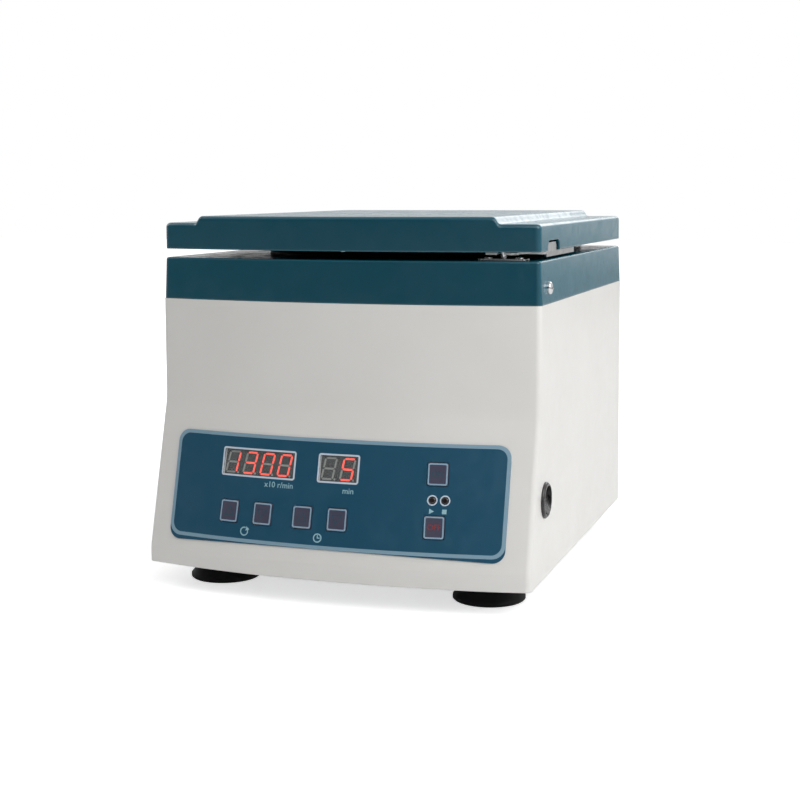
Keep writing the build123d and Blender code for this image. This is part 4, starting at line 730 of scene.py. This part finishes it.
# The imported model


@dataclass
class Model:
    """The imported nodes, with the body and slot of each."""

    nodes: dict[str, Piece]
    bodies: dict[str, str]
    slots: dict[str, str]

    @classmethod
    def from_frame(cls, frame: dict) -> "Model":
        """Reads the nodes, bodies and slots from the loaded frame."""
        record = frame["record"]
        bodies = {node: body for body, nodes in record["behaviour"]["bodies"].items() for node in nodes}
        slots = {part["node"]: part["material_slot"] for part in record["subparts"]}
        return cls(frame["nodes"], bodies, slots)

    def merged(self, node: str) -> bmesh.types.BMesh:
        """The node's surface with its loose triangles joined."""
        work = bmesh.new()
        work.from_mesh(self.nodes[node].data)
        bmesh.ops.remove_doubles(work, verts=work.verts, dist=2e-6)
        bmesh.ops.dissolve_degenerate(work, edges=work.edges, dist=1e-7)
        return work

    def islands(self, node: str) -> list[list[Vector]]:
        """The points of each separate solid of a node."""
        work = self.merged(node)
        found, left = [], set(work.verts)
        for start in work.verts:
            if start not in left:
                continue
            left.remove(start)
            heap, island = [start], []
            while heap:
                vert = heap.pop()
                island.append(vert.co.copy())
                near = [edge.other_vert(vert) for edge in vert.link_edges]
                heap += [other for other in near if other in left]
                left.difference_update(near)
            found.append(island)
        work.free()
        return found

    def dress(self, node: str) -> Piece:
        """Replaces a node with a smooth copy in its finish, which rides on the node's body."""
        work = self.merged(node)
        mesh = bpy.data.meshes.new(node)
        work.to_mesh(mesh)
        work.free()
        piece = add_object(f"{node}_surface", mesh, [self.slots[node]])
        shade(mesh)
        keep_flats(piece)
        return self.fit(piece, self.bodies[node], self.slots[node], node)

    def fit(self, piece: Piece, body: str, slot: str, *nodes: str) -> Piece:
        """Lets a piece ride on a body and hides the nodes it stands for."""
        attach(piece, body)
        if nodes:
            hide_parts(*nodes)
        LOG.info("%s rides on %s", piece.name, body)
        return piece


@dataclass
class Assembly:
    """A group of nodes that are dressed together."""

    model: Model
    nodes: tuple[str, ...] = ()

    def build(self) -> None:
        """Dresses the group's nodes and adds what they lack."""
        LOG.info("building %s", type(self).__name__)
        for node in self.nodes:
            self.model.dress(node)
        self.details()

    def details(self) -> None:
        """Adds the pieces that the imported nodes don't have."""

    def add_print(self, name: str, flats: Sequence[Mesh], where: Where, level: float, finish: str,
                  body: str = "housing") -> Piece:
        """Adds a thin print that rides on a body."""
        piece = printed(name, flats, where, level, finish)
        return self.model.fit(piece, body, FINISHES[finish].slot)


@dataclass
class Case(Assembly):
    """The white housing, the teal collar and what stands under them."""

    nodes: tuple[str, ...] = (
        "housing_shell", "deck_collar", "base_plate", "foot_front_left", "foot_front_right",
        "foot_rear_left", "foot_rear_right", "foot_screws",
    )


@dataclass
class Lid(Assembly):
    """The lid with its liner, catch and hinges."""

    nodes: tuple[str, ...] = (
        "lid_shell", "lid_liner", "latch_plate", "latch_guides", "deck_hinges", "hinge_pins",
        "lid_hinges", "lock_stud", "stud_plate",
    )


@dataclass(frozen=True)
class Screw:
    """A pan head screw with a cross recess, in millimetres, with its head's underside at zero."""

    head_radius: float
    head_height: float
    shank_radius: float
    shank_length: float
    pitch: float = 0.5
    side_share: float = 0.45
    root_share: float = 0.86
    tip_share: float = 0.6
    recess_width: float = 0.09
    recess_depth: float = 0.55

    def piece(self) -> Piece:
        """Turns the screw and cuts its recess."""
        radius, height, shank = self.head_radius, self.head_height, self.shank_radius
        side, crown = height * self.side_share, height * (1 - self.side_share)
        turns = [math.radians(90 - 9 * k) for k in range(11)]
        dome = [(radius * math.sin(turn), side + crown * math.cos(turn)) for turn in turns]
        thread = []
        for k in range(max(4, int((self.shank_length - 1.0) / self.pitch))):
            level = -0.4 - k * self.pitch
            thread += [(shank, level), (shank * self.root_share, level - self.pitch / 2)]
        profile = [(0.0, dome[-1][1])] + dome[::-1] + [(radius, 0.0), (shank, 0.0)] + thread
        profile += [(shank * self.tip_share, -self.shank_length), (0.0, -self.shank_length)]
        screw = lathe("screw", profile, ["bright_steel"])
        width, floor = 2 * radius * self.recess_width, height * (1 - self.recess_depth)
        for turn in (0.0, math.pi / 2):
            across = Vector((math.cos(turn), math.sin(turn), 0))
            along = Vector((-math.sin(turn), math.cos(turn), 0))
            bar = prism("recess", rounded(radius, width, width * 0.2),
                        lambda u, v, h: across * u + along * v + Vector((0, 0, h)), floor, height + 1.0, [])
            modifier = screw.modifiers.new("recess", "BOOLEAN")
            modifier.solver = "EXACT"
            modifier.object = bar
            bake(screw)
            bpy.data.objects.remove(bar)
        return screw


@dataclass
class Screws(Assembly):
    """Every set of screws, repeated from one detailed screw of each size."""

    small: Screw = Screw(2.6, 1.3, 1.5, 7.5)
    collar: Screw = Screw(4.0, 3.0, 2.0, 9.0)
    base: Screw = Screw(4.0, 1.8, 2.0, 14.0)
    collar_taper: float = 2.2
    side_from: float = 0.11

    def details(self) -> None:
        """Puts a screw where each packed screw is."""
        up, down, back = Vector((0, 0, 1)), Vector((0, 0, -1)), Vector((0, 1, 0))
        self.repeat("deck_screws", self.small, lambda middle: up)
        self.repeat("liner_screws", self.small, lambda middle: down)
        self.repeat("lid_hinge_screws", self.small, lambda middle: down)
        self.repeat("base_screws", self.base, lambda middle: down)
        self.repeat("inlet_screws", self.small, lambda middle: back)
        self.repeat("collar_screws", self.collar, self.out_of_collar)

    def out_of_collar(self, middle: Vector) -> Vector:
        """The direction out of the collar's tapered side or back, for a screw at a place in metres."""
        rise = math.tan(math.radians(self.collar_taper))
        if abs(middle.x) > self.side_from:
            return Vector((math.copysign(1, middle.x), 0, rise)).normalized()
        return Vector((0, 1, rise)).normalized()

    def repeat(self, node: str, screw: Screw, aim_at: Callable[[Vector], Vector]) -> None:
        """Replaces one node of screws.

        Args:
            node: The node with one solid for each screw.
            screw: The screw to repeat.
            aim_at: Gives the direction of a screw's head from the middle of its solid.
        """
        spots = []
        for island in self.model.islands(node):
            middle = sum(island, Vector()) / len(island)
            aim = aim_at(middle)
            side = aim.orthogonal().normalized()
            other = aim.cross(side)
            reach = [max(point.dot(axis) for point in island) for axis in (aim, side, other)]
            back = [min(point.dot(axis) for point in island) for axis in (side, other)]
            seat = aim * (reach[0] - screw.head_height * MM)
            seat += side * (reach[1] + back[0]) / 2 + other * (reach[2] + back[1]) / 2
            spots.append((seat, aim))
        piece = run_repeat(f"{node}_surface", repeat_at_points(), aimed_points(spots),
                           screw.piece(), "bright_steel")
        self.model.fit(piece, self.model.bodies[node], self.model.slots[node], node)


@dataclass
class Chamber(Assembly):
    """The bowl with its seal, and the rotor in it."""

    nodes: tuple[str, ...] = (
        "chamber_bowl", "bowl_screws", "chamber_seal", "shaft_boot", "rotor_head", "rotor_nut",
        "motor_shaft",
    )
    rotor_top: float = 189.0
    number_radius: float = 46.8
    number_size: float = 4.6
    well_count: int = 6

    def details(self) -> None:
        """Numbers the rotor's wells."""
        flats = []
        for well in range(self.well_count):
            flat = words(str(well + 1), self.number_size)
            turn = 2 * math.pi * well / self.well_count
            flat.transform(Matrix.Translation((0.0, self.number_radius, 0.0)))
            flat.transform(Matrix.Rotation(turn - math.pi / 2, 4, "Z"))
            flats.append(flat)
        middle = Vector((*CHAMBER, 0.0))
        self.add_print("rotor_numbers", flats, lambda u, v, h: middle + Vector((u, v, h)),
                       self.rotor_top, "engraving", "rotor")


@dataclass
class Drive(Assembly):
    """The motor under the chamber and the electronics beside it."""

    nodes: tuple[str, ...] = (
        "motor_housing", "motor_end_cap", "motor_bearings", "motor_stator", "motor_armature",
        "motor_mount_plate", "motor_dampers", "motor_bolts", "driver_board", "heat_sink", "capacitors",
        "control_board", "board_screws", "key_switches",
    )


@dataclass
class Panel(Assembly):
    """The printed film with its displays, lamps and keys."""

    nodes: tuple[str, ...] = (
        "panel_overlay", "speed_display", "time_display", "display_windows", "status_lamps",
        "key_speed_up", "key_speed_down", "key_time_up", "key_time_down", "key_on", "key_off",
    )
    width: float = 228.0
    height: float = 70.0
    corner: float = 8.0
    middle: float = 54.5
    film: float = 0.6
    border: float = 2.4
    frame_width: float = 1.15
    display_row: float = 38.2
    window_height: float = 16.4
    face_depth: float = 1.4
    key_top: float = 1.1
    key_size: Flat = (13.2, 14.3)
    outline: float = 0.9
    label_size: float = 5.2
    speed_unit: Flat = (-35.6, -51.2)
    time_unit: Flat = (12.3, -52.0)
    speed_symbol: Flat = (-57.3, -82.3)
    time_symbol: Flat = (-5.6, -82.4)
    symbol_radius: float = 2.9
    mark_size: float = 5.0
    window_room: float = 0.6
    key_inset: float = 0.7
    lamps: tuple[float, float] = (67.1, 75.1)
    lamp_row: float = 54.8
    lamp_mark_row: float = 61.6
    shown: tuple[tuple[str, float, float, str], ...] = (
        ("speed", -51.5, 50.3, "1300"), ("time", 4.6, 25.1, " 5"))

    def details(self) -> None:
        """Prints the film and the keys and lights the digits."""
        ring = [border(self.width - 0.2, self.height - 0.2, self.border - 0.1,
                       (self.corner, self.corner - 1.6), (0, -self.middle))]
        self.add_print("panel_border", ring, SLOPE.point, self.film, "border_ink")
        self.displays()
        self.labels()
        self.keys()

    def displays(self) -> None:
        """Frames both windows and fills them with digits."""
        for name, x, length, text in self.shown:
            row = -self.display_row
            wide = length + self.window_room + 2 * self.frame_width
            high = self.window_height + 2 * self.frame_width
            frame = border(wide, high, self.frame_width, (1.7, 0.4), (x, row))
            self.add_print(f"{name}_frame", [frame], SLOPE.point, self.film, "frame_ink")
            digits = Digits(text, length / len(text))
            face = SLOPE.flat_at(x, row)
            for finish, lit in (("lit_segment", True), ("dark_segment", False)):
                flats = [stamp(*digits.loops(lit))]
                self.add_print(f"{name}_{finish}", flats, face, -self.face_depth, finish)

    def labels(self) -> None:
        """Prints the units and symbols beside displays, keys and lamps."""
        play, halt = ((x, -self.lamp_mark_row) for x in self.lamps)
        marks = [
            words("x10 r/min", self.label_size, self.speed_unit),
            words("min", self.label_size, self.time_unit),
            turning_arrow(self.speed_symbol, self.symbol_radius),
            clock_face(self.time_symbol, self.symbol_radius),
            stamp(moved([(-1.5, 1.7), (-1.5, -1.7), (1.6, 0.0)], *play)),
            stamp(moved([(-1.4, 1.4), (-1.4, -1.4), (1.4, -1.4), (1.4, 1.4)], *halt)),
        ]
        self.add_print("panel_labels", marks, SLOPE.point, self.film, "label_ink")
        rings = [stamp(arc(3.3, (x, -self.lamp_row)), arc(2.5, (x, -self.lamp_row))) for x in self.lamps]
        self.add_print("lamp_rings", rings, SLOPE.point, self.film, "frame_ink")

    def keys(self) -> None:
        """Prints an outline and a mark on each key."""
        width, height = (size - self.key_inset for size in self.key_size)
        rise = [[(-3.7, -3.0), (3.7, -3.0), (0.9, 3.4)], [(-2.7, -2.4), (2.75, -2.4), (0.7, 2.3)]]
        fall = [[(-x, -y) for x, y in loop] for loop in rise]
        marks = {
            "key_speed_up": (-69.5, 70.2, "faint_ink", rise),
            "key_speed_down": (-45.2, 70.2, "faint_ink", fall),
            "key_time_up": (-17.2, 70.2, "faint_ink", rise),
            "key_time_down": (6.6, 70.2, "faint_ink", fall),
            "key_on": (69.4, 38.6, "faint_ink", "ON"),
            "key_off": (69.4, 71.6, "red_ink", "OFF"),
        }
        for key, (x, row, finish, mark) in marks.items():
            face = SLOPE.flat_at(x, -row)
            edge = border(width, height, self.outline, (1.2, 0.7))
            self.add_print(f"{key}_outline", [edge], face, self.key_top, "key_ink", key)
            flat = words(mark, self.mark_size) if isinstance(mark, str) else stamp(*mark)
            self.add_print(f"{key}_mark", [flat], face, self.key_top, finish, key)


def turning_arrow(middle: Flat, radius: float) -> Mesh:
    """A ring open at its upper right, with an arrow head at its end."""
    outer = arc(radius, (0, 0), 70, 380)
    inner = arc(radius - 0.75, (0, 0), 70, 380)
    turn = math.radians(22)
    tip = [(x * math.cos(turn) - y * math.sin(turn), x * math.sin(turn) + y * math.cos(turn))
           for x, y in ((radius - 1.9, 0.0), (radius + 1.1, 0.0), (radius - 0.4, 2.4))]
    return stamp(moved(outer + inner[::-1], *middle), moved(tip, *middle))


def clock_face(middle: Flat, radius: float) -> Mesh:
    """A ring with two hands."""
    hands = [(-0.33, -0.33), (1.7, -0.33), (1.7, 0.33), (0.33, 0.33), (0.33, 1.9), (-0.33, 1.9)]
    return stamp(moved(arc(radius), *middle), moved(arc(radius - 0.75), *middle), moved(hands, *middle))


@dataclass(frozen=True)
class Digits:
    """Seven-segment digits in a row, in millimetres about the row's middle."""

    text: str
    pitch: float
    height: float = 13.4
    width: float = 7.4
    stroke: float = 1.25
    gap: float = 0.28
    slant: float = 0.16
    point_radius: float = 0.72
    point_room: float = 0.7
    point_away: float = 1.5

    def loops(self, lit: bool) -> list[Loop]:
        """The outlines of the lit or of the dark segments and points.

        Args:
            lit: Which of the two to give.

        Returns:
            One closed outline for each segment or point.
        """
        shown = {"0": "abcdef", "1": "bc", "3": "abcdg", "5": "acdfg", " ": ""}
        half, mid = self.width / 2, self.height / 2
        bars = {"a": (-1, 1, 1, 1), "b": (1, 1, 1, 0), "c": (1, 0, 1, -1), "d": (-1, -1, 1, -1),
                "e": (-1, 0, -1, -1), "f": (-1, 1, -1, 0), "g": (-1, 0, 1, 0)}
        found = []
        for place, digit in enumerate(self.text):
            centre = (place - (len(self.text) - 1) / 2) * self.pitch - self.point_room
            for segment, (x, y, to_x, to_y) in bars.items():
                if (segment in shown[digit]) == lit:
                    start, end = Vector((x * half, y * mid)), Vector((to_x * half, to_y * mid))
                    found.append(moved(self.bar(start, end), centre, 0.0))
            if not lit:
                spot = (centre + half + self.point_away - self.slant * mid, -mid)
                found.append(arc(self.point_radius, spot))
        return found

    def bar(self, start: Vector, end: Vector) -> Loop:
        """One slanted segment with pointed ends."""
        along = (end - start).normalized()
        side = Vector((-along.y, along.x)) * self.stroke / 2
        first = start + along * self.gap
        last = end - along * self.gap
        inner = along * self.stroke / 2
        points = (first, first + inner + side, last - inner + side,
                  last, last - inner - side, first + inner - side)
        return [(p.x + p.y * self.slant, p.y) for p in points]


@dataclass
class SideAndRear(Assembly):
    """The power switch on the right side, and the inlet and fuse at the back."""

    nodes: tuple[str, ...] = (
        "power_switch_body", "power_rocker", "power_inlet", "inlet_pins", "fuse_holder",
    )
    fuse_centre: Triple = (0.028, 0.1541, 0.0585)
    fuse_radius: float = 0.0070
    fuse_ribs: int = 24
    rib_width: float = 0.9
    rib_length: float = 4.4

    def details(self) -> None:
        """Ribs the grip of the fuse cap."""
        outline, half = rounded(self.rib_width, self.rib_width, self.rib_width / 3), self.rib_length / 2
        rib = prism("rib", outline, lambda u, v, h: Vector((u, v, h)), -half, half, ["black_plastic"])
        start = bpy.data.meshes.new("start")
        ribs = run_repeat("fuse_ribs", repeat_round_axis(), start, rib, "black_plastic", Count=self.fuse_ribs,
                          Radius=self.fuse_radius, Centre=self.fuse_centre, Tilt=(math.pi / 2, 0.0, 0.0))
        self.model.fit(ribs, "housing", "black_plastic")


@dataclass(frozen=True)
class Lamp:
    """A soft round light that points at the machine, in metres and watts."""

    name: str
    location: Triple
    size: float
    energy: float
    aim_height: float = 0.12

    def build(self) -> None:
        """Adds the light."""
        data = bpy.data.lights.new(self.name, "AREA")
        data.shape = "DISK"
        data.size = self.size
        data.energy = self.energy
        light = link_object(self.name, data)
        light.location = self.location
        aim = Vector((0, 0, self.aim_height)) - light.location
        light.rotation_euler = aim.to_track_quat("-Z", "Y").to_euler()


@dataclass
class Stage:
    """Camera, lights, floor and surroundings."""

    location: Triple = (0.33956, -0.99815, 0.26208)
    lens: float = 66.21
    shift: float = -0.10
    yaw: float = 0.3297882
    pitch: float = 0.0888375
    roll: float = -0.0039958
    lamps: tuple[Lamp, ...] = (
        Lamp("key", (1.5, -0.35, 1.15), 1.3, 17.0),
        Lamp("front", (0.9, -1.4, 1.7), 1.6, 13.0),
        Lamp("left", (-1.6, 0.1, 1.2), 1.2, 7.0),
        Lamp("rear", (0.2, 1.8, 1.2), 1.4, 10.0),
    )
    floor_reach: float = 6.0
    floor_mirrored: float = 0.12
    air_light: float = 0.25

    def build(self) -> None:
        """Sets the stage."""
        LOG.info("building the stage")
        bpy.context.scene.view_settings.view_transform = "Standard"
        self.camera()
        self.floor()
        self.world()
        for lamp in self.lamps:
            lamp.build()

    def camera(self) -> None:
        """Places the camera as the photo was taken."""
        level = math.cos(self.pitch)
        right = Vector((math.cos(self.yaw), math.sin(self.yaw), 0.0))
        forward = Vector((-right.y * level, right.x * level, -math.sin(self.pitch)))
        down = forward.cross(right)
        across = right * math.cos(self.roll) - down * math.sin(self.roll)
        below = right * math.sin(self.roll) + down * math.cos(self.roll)
        data = bpy.data.cameras.new("camera")
        data.lens = self.lens
        data.sensor_width = 36.0
        data.shift_y = self.shift
        camera = link_object("camera", data)
        rows = Matrix((across, -below, -forward)).transposed().to_4x4()
        camera.matrix_world = Matrix.Translation(self.location) @ rows
        bpy.context.scene.camera = camera

    def floor(self) -> None:
        """A white floor that only darkens close under the machine."""
        mesh = bpy.data.meshes.new("floor")
        reach = self.floor_reach
        corners = [(-reach, -reach, 0), (reach, -reach, 0), (reach, reach, 0), (-reach, reach, 0)]
        mesh.from_pydata(corners, [], [(0, 1, 2, 3)])
        floor = link_object("floor", mesh)
        material = bpy.data.materials.new("floor")
        material.use_nodes = True
        tree = material.node_tree
        place = add_node(tree, "TexCoord")["Object"]
        away = maths(tree, "LENGTH", place, kind="VectorMath")
        level = add_node(tree, "MapRange", Value=away, From_Min=0.2, From_Max=0.9, To_Min=0.6, To_Max=1.1)
        seen = times(tree, seen_plainly(tree), level["Result"])
        mirrored = times(tree, ray_mask(tree, "Is Glossy Ray"), self.floor_mirrored)
        set_inputs(tree.nodes["Principled BSDF"], Base_Color=(0.9, 0.9, 0.9), Roughness=0.9,
                   Specular_IOR_Level=0.0, Emission_Color=(1.0, 1.0, 1.0),
                   Emission_Strength=maths(tree, "ADD", seen, mirrored))
        mesh.materials.append(material)

    def world(self) -> None:
        """White surroundings with a dim side behind the camera, and a plain light level."""
        world = bpy.data.worlds.new("world")
        bpy.context.scene.world = world
        world.use_nodes = True
        tree = world.node_tree
        place = add_node(tree, "TexCoord")["Generated"]
        behind = Vector((-0.25, -0.95, 0.0)).normalized()
        side = maths(tree, "DOT_PRODUCT", place, behind, kind="VectorMath")
        spread = add_node(tree, "MapRange", Value=side, From_Min=0.25, From_Max=0.85, To_Min=0.75,
                          To_Max=0.08)
        plain, mirror = seen_plainly(tree), ray_mask(tree, "Is Glossy Ray")
        seen = maths(tree, "MAXIMUM", plain, times(tree, mirror, spread["Result"]))
        other = maths(tree, "SUBTRACT", 1.0, maths(tree, "MAXIMUM", plain, mirror))
        lit = maths(tree, "ADD", seen, times(tree, other, self.air_light))
        set_inputs(tree.nodes["Background"], Color=(1.0, 1.0, 1.0), Strength=lit)


def ray_mask(tree: Tree, kind: str) -> Socket:
    """One for rays of a kind, and zero for others."""
    return add_node(tree, "LightPath")[kind]


def seen_plainly(tree: Tree) -> Socket:
    """One for rays straight from the camera or through a clear piece, and zero for others."""
    return maths(tree, "MAXIMUM", ray_mask(tree, "Is Camera Ray"), ray_mask(tree, "Is Transmission Ray"))


def main() -> None:
    """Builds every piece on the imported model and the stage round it."""
    logging.basicConfig(level=logging.INFO, format="%(name)s: %(message)s")
    model = Model.from_frame(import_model())
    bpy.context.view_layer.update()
    for assembly in (Case, Lid, Screws, Chamber, Drive, Panel, SideAndRear):
        assembly(model).build()
    Stage().build()


if __name__ == "__main__":
    main()
